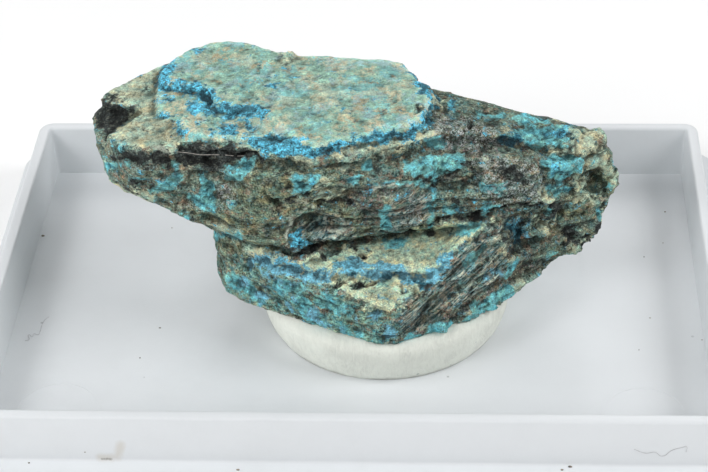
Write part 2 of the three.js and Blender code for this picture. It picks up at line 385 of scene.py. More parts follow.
def from_pixel(x, y, height):
    """The point, in metres, at a height in metres, that the photo shows at a pixel."""
    right, up, forward = camera_axes()
    roll = math.radians(CAMERA_ROLL)
    a, b = x - PHOTO_SIZE[0] / 2, y - PHOTO_SIZE[1] / 2
    across = (a * math.cos(roll) + b * math.sin(roll)) / FOCAL_PIXELS
    upward = -(-a * math.sin(roll) + b * math.cos(roll)) / FOCAL_PIXELS
    ray = forward + right * across + up * upward
    return (CAMERA_PLACE + ray * ((height / MM - CAMERA_PLACE.z) / ray.z)) * MM


def caster(piece):
    """A function that gives the place and the normal on a piece that the photo shows at a pixel."""
    mesh = piece.data
    tree = BVHTree.FromPolygons([v.co[:] for v in mesh.vertices], [p.vertices[:] for p in mesh.polygons])
    camera = CAMERA_PLACE * MM

    def land(x, y):
        place, normal = tree.ray_cast(camera, (from_pixel(x, y, 0) - camera).normalized())[:2]
        if place is None:
            raise RuntimeError(f"the photo shows nothing of {piece.name} at {x}, {y}")
        return place, normal

    return land


def line_distance(pixels, line):
    """Distance of each pixel from a line of points, or from one point."""
    ends = np.array(line, float)
    if len(ends) == 1:
        return np.linalg.norm(pixels - ends[0], axis=1)
    nearest = np.full(len(pixels), np.inf)
    for a, b in zip(ends[:-1], ends[1:]):
        along = np.clip((pixels - a) @ (b - a) / ((b - a) @ (b - a)), 0, 1)
        nearest = np.minimum(nearest, np.linalg.norm(pixels - a - along[:, None] * (b - a), axis=1))
    return nearest


def inside_distance(pixels, outline):
    """Distance of each pixel inside a closed outline, and outside it as a minus number."""
    ends = np.array(outline, float)
    inside = np.zeros(len(pixels), bool)
    for a, b in zip(ends, np.roll(ends, -1, axis=0)):
        crosses = (a[1] > pixels[:, 1]) != (b[1] > pixels[:, 1])
        with np.errstate(divide="ignore", invalid="ignore"):
            cut = (b[0] - a[0]) * (pixels[:, 1] - a[1]) / (b[1] - a[1]) + a[0]
        inside ^= crosses & (pixels[:, 0] < cut)
    away = line_distance(pixels, list(outline) + [outline[0]])
    return np.where(inside, away, -away)


# What the photo shows on the stone, in its pixels.
# Areas are closed outlines; streaks are lines with a half width.

CRUST_OUTLINE = [
    (157, 100), (155, 118), (173, 123), (180, 133), (184, 141), (225, 142), (262, 151), (293, 154),
    (316, 156), (327, 149), (357, 144), (394, 139), (408, 136), (421, 130), (425, 121), (434, 114),
    (435, 105), (429, 93), (420, 86), (415, 77), (414, 68), (407, 59), (361, 54), (299, 51), (288, 46),
    (262, 45), (235, 37), (214, 37), (185, 44), (174, 56), (162, 70), (157, 82),
]

AREAS = {
    "crust": [CRUST_OUTLINE],
    "tan": [
        [(102, 94), (174, 55), (160, 74), (158, 98), (148, 106), (137, 108), (117, 105), (103, 100)],
        [(148, 106), (158, 98), (173, 123), (184, 140), (180, 146), (168, 154), (161, 150), (140, 149),
         (122, 145), (107, 138), (111, 130), (122, 123), (134, 114)],
        [(556, 134), (575, 130), (590, 127), (605, 129), (604, 138), (598, 145), (590, 150), (565, 156),
         (545, 153), (548, 150), (570, 146), (572, 138)],
    ],
    # the sandy step: pale rock, painted paler still as painted light under the overhang
    "sand": [
        [(258, 262), (300, 262), (330, 255), (361, 240), (406, 235), (437, 226), (490, 222), (478, 235),
         (462, 247), (450, 254), (430, 284), (415, 292), (401, 306), (385, 312), (372, 312), (361, 303),
         (340, 287), (300, 275), (262, 264)],
    ],
    "olive": [
        [(250, 165), (330, 162), (335, 175), (340, 190), (330, 205), (285, 215), (284, 245), (262, 255),
         (222, 262), (205, 228), (200, 215), (222, 205), (240, 185)],
        [(288, 222), (310, 213), (330, 205), (345, 205), (360, 218), (372, 228), (360, 234), (345, 248),
         (325, 247), (305, 235)],
    ],
    "grey": [
        [(352, 193), (372, 189), (392, 190), (425, 190), (428, 205), (425, 222), (400, 230), (372, 226),
         (360, 215), (350, 205)],
        [(281, 258), (300, 258), (328, 250), (325, 257), (310, 264), (290, 266), (281, 262)],
        [(432, 125), (450, 118), (480, 130), (505, 142), (500, 155), (480, 165), (470, 158), (435, 153),
         (430, 140)],
        [(490, 224), (505, 228), (500, 245), (530, 255), (545, 262), (530, 272), (520, 288), (505, 300),
         (490, 318), (470, 324), (440, 332), (405, 342), (398, 320), (408, 305), (432, 288), (452, 254)],
    ],
    "turquoise": [
        [(198, 174), (206, 172), (213, 186), (212, 193), (218, 205), (213, 209), (200, 209), (194, 203),
         (188, 197), (190, 193), (197, 193), (196, 184)],
        [(240, 160), (254, 158), (255, 166), (248, 172), (240, 180), (228, 179), (226, 172), (236, 170)],
        [(293, 178), (308, 175), (320, 173), (322, 180), (315, 188), (303, 196), (292, 192)],
        [(404, 160), (418, 157), (435, 156), (450, 155), (467, 158), (470, 164), (462, 170), (448, 176),
         (430, 178), (412, 178), (405, 172)],
        [(512, 133), (530, 128), (560, 126), (578, 127), (570, 133), (558, 134), (552, 145), (545, 152),
         (536, 150), (530, 142), (515, 138)],
        [(541, 160), (555, 157), (574, 157), (576, 163), (572, 172), (566, 178), (560, 182), (552, 178),
         (546, 170)],
    ],
    "sage": [
        [(222, 262), (261, 266), (294, 277), (337, 289), (361, 306), (372, 313), (401, 309), (398, 330),
         (395, 344), (362, 347), (330, 336), (310, 327), (295, 316), (255, 308), (225, 292)],
    ],
    "striated": [
        [(400, 310), (432, 288), (452, 256), (480, 232), (503, 226), (508, 250), (500, 275), (480, 296),
         (450, 312), (420, 326), (403, 334), (398, 322)],
        [(393, 196), (428, 194), (426, 224), (395, 228), (386, 212)],
        [(296, 222), (330, 212), (352, 220), (352, 240), (320, 246), (300, 238)],
    ],
    "frost": [
        [(430, 118), (452, 114), (480, 122), (500, 138), (498, 150), (470, 152), (440, 146), (430, 134)],
        [(472, 160), (500, 156), (530, 160), (545, 172), (545, 190), (535, 203), (505, 207), (480, 200)],
        [(410, 196), (428, 200), (425, 224), (405, 226)],
        [(215, 188), (240, 185), (240, 200), (220, 205)],
    ],
    # Black: partly black rock, partly painted shade in shadowed recesses such as the band under the crust's edge
    "black": [
        [(98, 99), (104, 99), (117, 105), (137, 109), (134, 114), (122, 123), (111, 130), (107, 137),
         (103, 132), (94, 125), (89, 114), (94, 104)],
        [(180, 145), (237, 146), (262, 153), (262, 158), (240, 160), (228, 166), (205, 171), (192, 166),
         (176, 160), (170, 156)],
    ],
}

STREAKS = {
    "tan": [
        (3, [(257, 150), (262, 155)]), (4, [(300, 161), (325, 155), (357, 150), (400, 144), (432, 136)]),
        (4, [(340, 168), (352, 164), (365, 160)]), (3, [(325, 180), (318, 195), (340, 198)]),
        (4, [(115, 187), (150, 198)]), (5, [(215, 222), (235, 235)]), (4, [(250, 250), (280, 262)]),
        (6, [(585, 160), (605, 165), (612, 176)]), (5, [(436, 98), (442, 104)]),
        (4, [(540, 190), (548, 196)]), (3, [(500, 240), (508, 262)]), (4, [(593, 185), (600, 191)]),
        (3, [(579, 168), (575, 185), (579, 200)]), (3, [(585, 196), (594, 199)]),
        (3, [(609, 172), (614, 183)]), (2.5, [(562, 208), (553, 222)]), (3, [(536, 222), (548, 232)]),
        (4, [(590, 156), (602, 158)]), (4, [(550, 151), (575, 152), (598, 150)]),
        (3, [(566, 246), (590, 238)]), (3, [(528, 276), (512, 292)]),
    ],
    "ochre": [
        (5, [(199, 59)]), (4, [(191, 78)]), (3, [(213, 78)]), (7, [(286, 51), (298, 54)]),
        (5, [(307, 83), (316, 84)]), (5, [(252, 102), (260, 100)]), (5, [(312, 102), (328, 100)]),
        (7, [(268, 125), (285, 122)]), (6, [(186, 119), (198, 122)]), (5, [(232, 124), (240, 127)]),
        (7, [(168, 106), (180, 107)]), (4, [(208, 136), (220, 138)]), (5, [(346, 113), (355, 110)]),
        (5, [(372, 126), (380, 125)]), (4, [(400, 66), (406, 70)]), (4, [(366, 72), (374, 70)]),
        (4, [(335, 128), (344, 127)]), (4, [(236, 62)]), (5, [(385, 92), (396, 95)]),
        (4, [(330, 66), (340, 67)]), (4, [(275, 108)]), (4, [(300, 140), (310, 139)]),
    ],
    "olive": [
        (5, [(277, 168), (290, 175)]), (4, [(222, 205), (232, 215)]), (8, [(596, 182)]),
        (8, [(545, 222), (554, 232)]), (9, [(572, 216), (590, 204)]), (8, [(556, 252), (590, 238)]),
        (6, [(600, 158), (612, 190)]),
    ],
    "turquoise": [
        (3, [(120, 146), (122, 150)]), (4, [(110, 164), (114, 168)]), (2.5, [(125, 162)]),
        (2, [(134, 178), (150, 179)]), (3.5, [(176, 165), (178, 175), (172, 182), (160, 190), (153, 193)]),
        (3, [(230, 200), (232, 206)]), (2, [(182, 213), (188, 215)]), (5, [(367, 165)]),
        (7, [(414, 169), (458, 164)]), (3, [(352, 181), (364, 180)]),
        (2.2, [(375, 185), (395, 182), (412, 184), (425, 184)]), (3, [(434, 187), (430, 205), (432, 225)]),
        (4, [(454, 104)]), (3, [(475, 117), (500, 115)]), (5, [(546, 142), (564, 140)]), (3, [(593, 160)]),
        (3, [(608, 187)]), (3, [(552, 188), (566, 190)]), (4, [(484, 190), (500, 186)]), (3, [(476, 178)]),
        (4, [(444, 210), (452, 212)]), (3, [(485, 209), (500, 206)]),
        (6, [(476, 311), (492, 303), (507, 293)]), (4.5, [(400, 342), (430, 331), (470, 319)]),
        (3, [(214, 235), (238, 237)]), (5, [(387, 241), (400, 245)]), (4, [(460, 232), (480, 225)]),
        (5, [(385, 210), (385, 222)]), (4, [(548, 212), (552, 217)]), (3, [(545, 255), (556, 252)]),
        (4, [(600, 215), (604, 222)]), (5, [(505, 275), (515, 262)]), (4, [(430, 145), (440, 142)]),
        (4, [(520, 118), (545, 121)]), (7, [(522, 134), (556, 132)]), (6, [(240, 285), (262, 298)]),
        (7, [(300, 300), (318, 322)]), (6, [(275, 285), (300, 292)]), (5, [(325, 300), (350, 312)]),
        (4, [(345, 330), (362, 338)]), (4, [(232, 270), (236, 282)]), (4, [(470, 262), (482, 250)]),
        (6, [(299, 187), (312, 184)]),
    ],
    "blue": [
        (4.6, [(258, 144), (268, 149), (293, 150), (314, 154), (322, 150), (335, 145), (350, 141),
               (375, 138), (394, 136), (408, 133), (420, 127), (425, 121)]),
        (6.5, [(256, 141), (290, 145), (308, 148)]),
        (3.5, [(425, 119), (433, 113), (434, 105), (429, 94), (421, 86), (415, 77), (412, 68), (408, 62)]),
        (6, [(170, 63), (165, 74), (164, 82), (175, 87), (195, 89)]),
        (7, [(203, 93), (212, 100), (207, 109)]), (4, [(197, 103), (190, 106)]), (3, [(195, 112)]),
        (7, [(220, 111), (245, 110), (262, 113)]), (3, [(222, 115)]),
        (4, [(245, 120), (250, 130), (256, 138)]), (3.5, [(225, 128), (245, 133), (250, 140)]),
        (3, [(160, 97), (170, 98)]), (3, [(162, 115), (175, 115)]), (3, [(178, 125), (185, 133)]),
        (3, [(200, 123), (208, 122)]), (3, [(215, 130), (235, 135)]), (3.5, [(267, 87), (275, 85)]),
        (2, [(280, 74), (283, 70)]), (2.5, [(188, 50), (205, 47)]), (5, [(331, 147), (345, 143)]),
        (4, [(361, 138), (385, 135)]), (4, [(408, 130), (418, 124)]),
        (6.5, [(250, 261), (262, 262), (285, 271), (303, 276), (321, 275), (334, 272), (348, 266),
               (358, 264)]),
        (5.5, [(361, 271), (379, 272), (390, 269), (401, 274), (410, 281), (424, 281), (433, 276),
               (439, 269), (447, 258)]),
        (7, [(295, 240), (299, 247)]), (5.5, [(523, 225), (526, 232)]), (2.5, [(484, 278)]),
        (2.5, [(497, 270)]), (5, [(243, 280)]), (6, [(261, 294)]), (4, [(288, 285)]), (3.5, [(290, 305)]),
        (6, [(314, 312), (316, 320)]), (4.5, [(325, 329)]), (4, [(377, 316)]), (5, [(390, 334)]),
        (3, [(401, 318)]), (3, [(343, 332)]), (3, [(455, 103)]), (4, [(310, 182)]),
        (4, [(556, 132), (566, 130)]), (4, [(557, 170)]),
    ],
    # Blue in shade: the blue fringe painted darker, as painted shade, in its gaps and grooves
    "navy": [
        (2.2, [(264, 138), (272, 138), (279, 140), (291, 138)]),
        (2.2, [(322, 151), (331, 149), (340, 146)]), (1.5, [(358, 141), (373, 138), (384, 135)]),
        (2.5, [(226, 109), (236, 108), (247, 109), (252, 113)]), (3, [(206, 93), (212, 100), (210, 107)]),
        (2, [(395, 134), (404, 132)]), (2, [(270, 86), (276, 84)]), (2.5, [(384, 271), (396, 274)]),
        (2.5, [(410, 284), (428, 284)]), (2, [(345, 272), (352, 270)]), (2, [(176, 86), (184, 88)]),
        (2, [(412, 70), (418, 80), (425, 90)]), (2, [(430, 112), (434, 106)]),
        (4, [(503, 137), (521, 139)]), (5, [(512, 226), (514, 241)]),
    ],
    "pale": [
        (0.9, [(178, 154), (215, 154), (240, 156), (262, 158)]), (1.5, [(150, 149), (168, 153)]),
        (1.0, [(284, 245), (286, 233), (287, 219), (290, 215), (302, 208), (317, 205)]),
        (1.2, [(375, 189), (395, 186), (412, 187)]), (1.4, [(330, 231), (350, 229)]),
    ],
    # Black streaks: partly black rock, partly painted shade in cracks and shadowed hollows
    "black": [
        (2, [(502, 240), (510, 235)]), (2, [(523, 217), (530, 213)]), (2.5, [(504, 226), (509, 218)]),
        (1.6, [(431, 223), (450, 218), (477, 215), (494, 212), (509, 209), (528, 205), (541, 204)]),
        (1.2, [(430, 181), (447, 177), (468, 168), (473, 166)]), (2.5, [(347, 200), (348, 204)]),
        (2.5, [(365, 212)]), (2.6, [(349, 244), (354, 245)]), (2, [(361, 254), (366, 254)]),
        (1.8, [(324, 257)]), (2, [(289, 175)]), (1.6, [(279, 170)]), (2, [(288, 199)]),
        (2, [(255, 157), (263, 159)]), (1.3, [(301, 161), (310, 157)]), (1.3, [(320, 155), (328, 152)]),
        (1.2, [(276, 203), (288, 199), (305, 197), (310, 193)]),
        (1.6, [(319, 202), (338, 200), (347, 199)]), (1, [(404, 180), (435, 179)]),
        (1.3, [(385, 231), (404, 230), (416, 228), (434, 231)]),
        (1.5, [(284, 255), (305, 250), (328, 246)]), (2.6, [(468, 127)]), (1.5, [(418, 110), (421, 109)]),
        (5, [(598, 228), (596, 238), (586, 245)]), (3.5, [(566, 236), (590, 233)]),
        (3, [(511, 245), (518, 250)]), (3, [(449, 196), (455, 202)]), (6.5, [(503, 168), (519, 173)]),
        (2, [(116, 98), (119, 99)]), (1.4, [(145, 92), (149, 91)]), (2, [(165, 62), (174, 58)]),
        (1.2, [(337, 286), (361, 285), (384, 277)]), (1.2, [(401, 291), (419, 294), (430, 285)]),
        (4, [(548, 218), (556, 206)]), (5, [(115, 155), (135, 158)]), (5, [(145, 160), (165, 162)]),
        (3, [(130, 183), (150, 188)]),
    ],
}

STRIAE_ENDS = ((404, 318), (486, 240))  # two points on one streak of the striated face

# Cracks, pits and ledges: half width in pixels, how far the face moves out in millimetres, and the line
RELIEF = [
    (2.5, -0.4, [(180, 150), (205, 152), (237, 154), (258, 157)]), (4, -0.3, [(195, 160), (215, 162)]),
    (1.0, 0.12, [(178, 154), (215, 154), (240, 156)]),
    (2.0, -0.35, [(431, 223), (450, 218), (477, 215), (494, 212), (509, 209), (528, 205), (541, 204)]),
    (1.5, -0.15, [(430, 181), (447, 177), (468, 168), (473, 166)]), (3, -0.35, [(347, 198), (349, 204)]),
    (2.5, -0.25, [(365, 212)]), (3, -0.12, [(351, 244), (362, 254)]), (3, -0.3, [(289, 175), (279, 170)]),
    (2, -0.2, [(276, 203), (288, 199), (305, 197), (310, 193)]),
    (2, -0.2, [(319, 202), (338, 200), (347, 199)]),
    (2.5, -0.15, [(385, 231), (404, 230), (416, 228), (434, 231)]),
    (2, -0.3, [(284, 255), (305, 250), (328, 246)]),
    (1.8, 0.12, [(284, 245), (286, 233), (287, 219), (290, 215), (302, 208), (317, 205)]),
    (2.6, -0.35, [(468, 127)]), (2.5, -0.13, [(416, 111), (421, 109)]),
    (8.5, -0.3, [(594, 184), (600, 188)]),
    (3, -0.3, [(538, 159), (545, 168), (546, 177), (545, 190), (541, 200)]),
    (3, -0.1, [(498, 139), (507, 136), (524, 140)]), (1.8, -0.18, [(337, 287), (361, 285), (384, 278)]),
    (1.6, -0.15, [(401, 291), (419, 294), (430, 285)]), (2.5, -0.2, [(272, 138), (291, 138)]),
    (3, -0.2, [(232, 112), (250, 112)]), (3, -0.2, [(208, 94), (212, 105)]),
    (3, -0.15, [(331, 147), (337, 145)]), (7, 0.4, [(289, 53)]), (6, -0.2, [(524, 226), (512, 232)]),
    (9, 0.5, [(586, 203)]), (6, 0.4, [(608, 168), (615, 186)]), (8, -0.4, [(545, 222), (560, 214)]),
    (11, 0.25, [(566, 243), (588, 236)]), (7, 0.3, [(568, 140), (598, 132)]),
    (5, 0.35, [(552, 152), (575, 153), (598, 151)]), (14, 0.3, [(500, 178), (522, 182)]),
    (5, 0.35, [(576, 163), (577, 190)]), (5, -0.35, [(608, 210), (600, 214)]),
    (5, 0.25, [(278, 258), (300, 260), (322, 250)]), (2, -0.3, [(270, 250), (300, 244), (328, 242)]),
    (5, -0.2, [(245, 262), (262, 264)]), (6, 0.2, [(420, 168), (460, 165)]),
    (5, -0.25, [(262, 196), (278, 208)]), (4, 0.25, [(296, 180), (318, 178)]),
    (5, 0.2, [(196, 186), (208, 200)]), (5, 0.2, [(446, 99)]), (4, 0.15, [(487, 109)]),
    (5, 0.08, [(520, 119)]), (4, 0.2, [(548, 124)]), (9, 0.42, [(440, 336), (470, 325), (500, 309)]),
]

FILLED = (7, [(246, 116), (262, 122), (275, 130), (282, 136)])  # half width and line of a filled groove

MASKS = ("crust", "ochre", "tan", "sand", "olive", "grey", "sage", "striated", "frost", "turquoise", "blue",
         "navy", "pale", "black")


# The stone

def stone_noise(points, scale, seed, octaves=3):
    """Layered noise at each point, in millimetres; scale is one number, or one along each axis."""
    places = points * np.array(scale) + seed
    return np.array([noise.fractal(place, 0.9, 2.1, octaves) for place in places.tolist()])


def stone_cells(points, scale, seed):
    """Distance of each point from the nearest cell's middle, in cells."""
    places = (points * scale + seed).tolist()
    return np.array([noise.voronoi(place)[0][0] for place in places])


def layer_offsets(points, thickness, seed):
    """From -1 to 1: one level for each thin layer of rock, which changes slowly along it."""
    wander = 0.5 * stone_noise(points, (0.12, 0.12, 0.12), seed, 2)
    layer = points[:, 2] / thickness + 0.05 * points[:, 0] + wander
    places = np.stack([points[:, 0] * 0.45, points[:, 1] * 0.45, np.floor(layer) * 7.3 + seed], axis=1)
    level = np.array([noise.noise(place) for place in places.tolist()])
    slope = layer - np.floor(layer)
    return 1.6 * level + 0.25 * (0.5 - slope)


def spread(values, edges, count, rounds):
    """Averages each vertex's value with its neighbours'."""
    links = np.bincount(edges.ravel(), minlength=count)
    for _ in range(rounds):
        total = np.bincount(edges[:, 0], values[edges[:, 1]], count)
        total += np.bincount(edges[:, 1], values[edges[:, 0]], count)
        values = 0.5 * values + 0.5 * total / np.maximum(links, 1)
    return values


SIDE_MARGIN = 0.2 * MM  # how far the relief may reach past the solid's sides
TOP_MARGIN = 0.25 * MM  # and past its top
RESTING = 0.02 * MM  # vertices this close to the lowest point rest in the putty
EASING_ROUNDS = 70


class StoneShape:
    """The stone's vertices, as arrays."""

    def __init__(self, piece):
        self.mesh = piece.data
        self.count = len(self.mesh.vertices)
        self.read()
        edges = np.empty(len(self.mesh.edges) * 2, np.int32)
        self.mesh.edges.foreach_get("vertices", edges)
        self.edges = edges.reshape(-1, 2)

    def read(self):
        points = np.empty(self.count * 3)
        self.mesh.vertices.foreach_get("co", points)
        self.points = points.reshape(-1, 3)
        normals = np.empty(self.count * 3, np.float32)
        self.mesh.vertex_normals.foreach_get("vector", normals)
        self.normals = normals.reshape(-1, 3).astype(float)

    def move(self, outwards):
        """Moves each vertex along its normal, in metres, but not below what the stone rests on."""
        flat = self.points[:, 2] < STONE_LOW[2] + RESTING
        moved = self.points + self.normals * np.where(flat, 0, outwards)[:, None]
        moved[:, 2] = np.maximum(moved[:, 2], STONE_LOW[2])
        moved = np.clip(moved, STONE_LOW - SIDE_MARGIN * np.array([1, 1, 0]), STONE_HIGH + TOP_MARGIN)
        self.mesh.vertices.foreach_set("co", moved.ravel())
        self.mesh.update()
        self.read()

    def smoothed(self, rounds):
        """The points, each averaged with its neighbours."""
        axes = [spread(self.points[:, axis], self.edges, self.count, rounds) for axis in range(3)]
        return np.stack(axes, axis=1)

    def ease(self, seen, width, line):
        """Smooths the face along a line of pixels, as if filled in."""
        near = np.clip(1.5 - line_distance(to_pixels(self.points), line) / width, 0, 1) * seen
        soft = self.smoothed(EASING_ROUNDS)
        self.mesh.vertices.foreach_set("co", (self.points + near[:, None] * (soft - self.points)).ravel())
        self.mesh.update()
        self.read()

    def seen(self):
        """1 where the photographer's camera sees the vertex and 0 where not."""
        camera = CAMERA_PLACE * MM
        tree = BVHTree.FromPolygons(self.points.tolist(), [p.vertices[:] for p in self.mesh.polygons])
        away = np.array(camera) - self.points
        away /= np.linalg.norm(away, axis=1)[:, None]
        facing = (self.normals * away).sum(axis=1) > 0.02
        result = np.zeros(self.count)
        starts = self.points + self.normals * 0.1 * MM + away * 0.15 * MM
        for index in np.flatnonzero(facing):
            hit = tree.ray_cast(Vector(starts[index]), Vector(away[index]))
            result[index] = hit[0] is None
        return result

    def nearest_seen(self, pixel, seen):
        """The vertex that the photo shows nearest to a pixel."""
        away = np.linalg.norm(to_pixels(self.points) - pixel, axis=1)
        away[seen < 0.5] = np.inf
        return self.points[np.argmin(away)]


WANDER = 6.0  # pixels
MASK_SOFTNESS = 10.0  # pixels over which a mask goes from 0 to 1

# What the sides hidden from the camera show: a level, how strongly noise varies it, the noise's scale and seed
HIDDEN = {
    "tan": (0.42, 0.9, 0.3, 3.1),
    "olive": (0.4, 0.9, 0.25, 9.7),
    "grey": (0.4, 0.8, 0.3, 17.3),
    "sage": (0.4, 0.8, (0.3, 0.3, 0.5), 19.9),
    "turquoise": (0.38, 1.0, (0.45, 0.45, 0.8), 23.9),
    "blue": (0.24, 1.0, (0.6, 0.6, 1.1), 31.7),
    "frost": (0.3, 0.9, 0.4, 51.7),
    "black": (0.34, 0.9, (0.35, 0.35, 0.8), 41.3),
}
HIDDEN_LEVELS = {"sand": 0.15, "ochre": 0.2, "navy": 0.1, "striated": 0.2, "pale": 0.0}  # these don't vary


def wandering_pixels(shape):
    """Where each vertex falls in the photo, pushed about a little so that no outline runs smooth."""
    places = shape.points / MM
    wander = np.stack([stone_noise(places, 1.3, seed, 4) for seed in (61.3, 87.9)], axis=1)
    return to_pixels(shape.points) + WANDER * wander


def hidden_masks(shape):
    """For each kind of surface, how much of it the hidden sides have."""
    places = shape.points / MM
    up = shape.normals[:, 2]
    masks = {kind: np.full(shape.count, level) for kind, level in HIDDEN_LEVELS.items()}
    for kind, (level, strength, scale, seed) in HIDDEN.items():
        masks[kind] = level + strength * stone_noise(places, scale, seed)
    masks["tan"] += 0.12 * np.maximum(up, 0)
    plateau = (up > 0.45) & (places[:, 2] > 13.6) & (places[:, 0] < 4.6)
    masks["crust"] = np.where(plateau, 0.7, 0.1)
    return masks


def stone_masks(shape, seen):
    """For each kind of surface, how far inside it each vertex lies: a half at its edge."""
    pixels = wandering_pixels(shape)
    hidden = hidden_masks(shape)
    masks = {}
    for kind in MASKS:
        reach = np.full(shape.count, -MASK_SOFTNESS)
        for outline in AREAS.get(kind, []):
            reach = np.maximum(reach, inside_distance(pixels, outline))
        for width, line in STREAKS.get(kind, []):
            reach = np.maximum(reach, width - line_distance(pixels, line))
        shown = np.clip(0.5 + reach / MASK_SOFTNESS, 0, 1)
        masks[kind] = np.clip(seen * shown + (1 - seen) * np.clip(hidden[kind], 0, 1), 0, 1)
    return masks


def stone_relief(shape, seen):
    """The photo's cracks, pits and ledges, in metres outwards."""
    pixels = wandering_pixels(shape)
    uneven = np.clip(0.7 + 1.6 * stone_noise(shape.points / MM, 1.7, 91.1), 0.1, 1.5)
    total = np.zeros(shape.count)
    for width, height, line in RELIEF:
        near = np.clip(1 - line_distance(pixels, line) / (1.8 * width), 0, 1)
        total += height * near * near * (3 - 2 * near)
    return total * uneven * seen * MM


def stone_hollows(shape):
    """A half on flat rock, up to 1 in its hollows and down to 0 on its edges; the stone's colour takes painted
    shade from it in hollows and a painted highlight on edges.
    """
    total = np.zeros(shape.count)
    for rounds, depth in ((6, 0.02), (40, 0.08)):
        total += ((shape.smoothed(rounds) - shape.points) * shape.normals).sum(axis=1) / (depth * MM)
    return np.clip(0.5 + 0.35 * total, 0, 1)


# Tints that only vary the colours of the settings
TEAL_GRAIN = (0.09, 0.24, 0.21)
MOSS_GRAIN = (0.12, 0.2, 0.15)
ROSY_GRAIN = (0.25, 0.19, 0.19)
AQUA_GRAIN = (0.1, 0.37, 0.42)
SOOT_GRAIN = (0.12, 0.13, 0.11)
RUST_STAIN = (0.55, 0.42, 0.24)
SKY_STAIN = (0.36, 0.53, 0.57)
OCHRE = (0.56, 0.5, 0.33)
LOW_BLUE = (0.21, 0.46, 0.56)
FROST = (0.42, 0.46, 0.45)
PALE = (0.42, 0.46, 0.38)
SEAM = (0.03, 0.035, 0.03)
POCK = (0.025, 0.035, 0.035)


class StonePaint(Paint):
    """The stone's material: the noises that its colours share, and the ways they are used."""

    def __init__(self, along):
        super().__init__("stone", {"Specular IOR Level": 0.3})
        self.even = self.stretched()
        self.broad = self.cloud(self.even, 0.55, 3, 0.6)
        self.middle = self.cloud(self.even, 2.3, 4, 0.65, 0.5)
        self.fine = self.cloud(self.even, 12.0, 3, 0.7)
        self.flecks = self.cloud(self.stretched((800, 800, 1100), (7.1, 2.9, 4.4)), 5.0, 3, 0.65, 0.4)
        self.stripes = self.cloud(self.stretched((420, 420, 1500)), 2.6, 5, 0.7, 0.5)
        self.striae = self.cloud(self.turned(along, (300, 3600, 3600)), 1.6, 4, 0.65, 0.2)
        self.grains = self.cells(self.even, 9.0)
        fine, middle, speckle = self.fine - 0.5, self.middle - 0.5, 0.42 - self.grains
        self.grit = fine * 3.4 + speckle * 0.8 + (self.stripes - 0.5) * 2.0 + 0.9
        self.soft_grit = fine * 1.8 + speckle * 0.45 + middle * 0.9 + 1.0
        self.powder = fine * 2.2 + middle * 0.5 + 1.0

    def where(self, name, fray=3.6, soft=0.25):
        """How much of this surface shows at a point."""
        shift = (3.7 * MASKS.index(name), 1.3, 2.9 * MASKS.index(name))
        ragged = self.cloud(self.stretched((850, 850, 1150), shift), 1.6, 4, 0.78, 0.3)
        return (self.mask(name) + (ragged - 0.5) * fray).step(0.5, soft)

    def mottled(self, first, second, third, grit, share=0.57):
        """Three colours in small patches, lit up and down by grains."""
        color = self.mix(self.middle.step(0.5, 0.14), first, second)
        color = self.mix(self.flecks.step(share, 0.08), color, third)
        return self.lit(color, grit.higher(0.12))

    def stained(self, color, grit, *stains):
        """The colour with ragged stains: for each its noise's shift and scale, an edge, a colour, a strength."""
        for shift, scale, edge, stain, strength in stains:
            spots = self.cloud(self.stretched((800, 800, 1200), shift), scale, 4, 0.78, 0.3)
            color = self.mix(spots.step(edge, 0.06) * strength, color, self.lit(stain, grit))
        return color


def rock_color(paint, settings, on_slats):
    """Dark rock with olive, grey and teal-green parts, a striated face, and tan and sandy places; the sandy step
    is painted paler than its own colour, as painted light under the overhang.
    """
    rock, grey, sage, tan, sand = settings.rock, settings.grey, settings.sage, settings.tan, settings.sand
    color = paint.mottled(rock, toned(rock, 1.7), TEAL_GRAIN, paint.grit, 0.59)
    kinds = (("olive", 1.7, MOSS_GRAIN), ("grey", 1.8, ROSY_GRAIN), ("sage", 1.4, AQUA_GRAIN))
    for name, lighter, grain in kinds:
        base = getattr(settings, name)
        color = paint.mix(paint.where(name, 3.6, 0.7), color,
                          paint.mottled(base, toned(base, lighter), grain, paint.grit))
    streaky = (paint.striae - 0.5) * 6.0 + (paint.fine - 0.5) * 1.6 + 1.0
    slats = paint.ramp((paint.striae - 0.5) * 2.4 + (paint.flecks - 0.5) * 1.5 + 0.5, [
        (0.15, (0.03, 0.05, 0.05)), (0.38, toned(grey, 0.9)), (0.5, (0.13, 0.3, 0.31)),
        (0.62, (0.27, 0.27, 0.24)), (0.8, (0.34, 0.36, 0.3))])
    color = paint.mix(on_slats, color, paint.lit(slats, streaky.higher(0.35)))
    color = paint.stained(
        color, paint.grit,
        ((2, 5, 1), 1.7, 0.57, settings.brown, 0.75),
        ((8, 1, 6), 1.4, 0.57, toned(tan, 0.75), 0.75),
        ((4, 9, 3), 1.9, 0.58, toned(sage, 0.9), 0.75),
        ((6, 3, 9), 1.6, 0.6, toned(settings.black, 1.5), 0.75))
    color = paint.mix(paint.where("tan", 3.0), color, paint.stained(
        paint.mottled(tan, toned(tan, 1.15), toned(tan, 0.72), paint.powder), paint.powder,
        ((1, 7, 4), 1.5, 0.58, sage, 0.5)))
    # Sandy rock, its colour raised as painted light under the overhang.
    return paint.mix(paint.where("sand", 3.0), color, paint.stained(
        paint.mottled(sand, toned(sand, 1.12), toned(sand, 0.7), paint.powder), paint.powder,
        ((7, 2, 5), 1.7, 0.555, toned(sage, 1.3), 0.7)))


def film_color(paint, settings):
    """The thin turquoise film, with rock showing through."""
    film = settings.turquoise
    color = paint.mottled(film, toned(film, 1.2), toned(film, 0.68), paint.soft_grit)
    return paint.stained(color, paint.grit, ((3, 3, 7), 2.3, 0.605, toned(settings.rock, 1.6), 0.75))


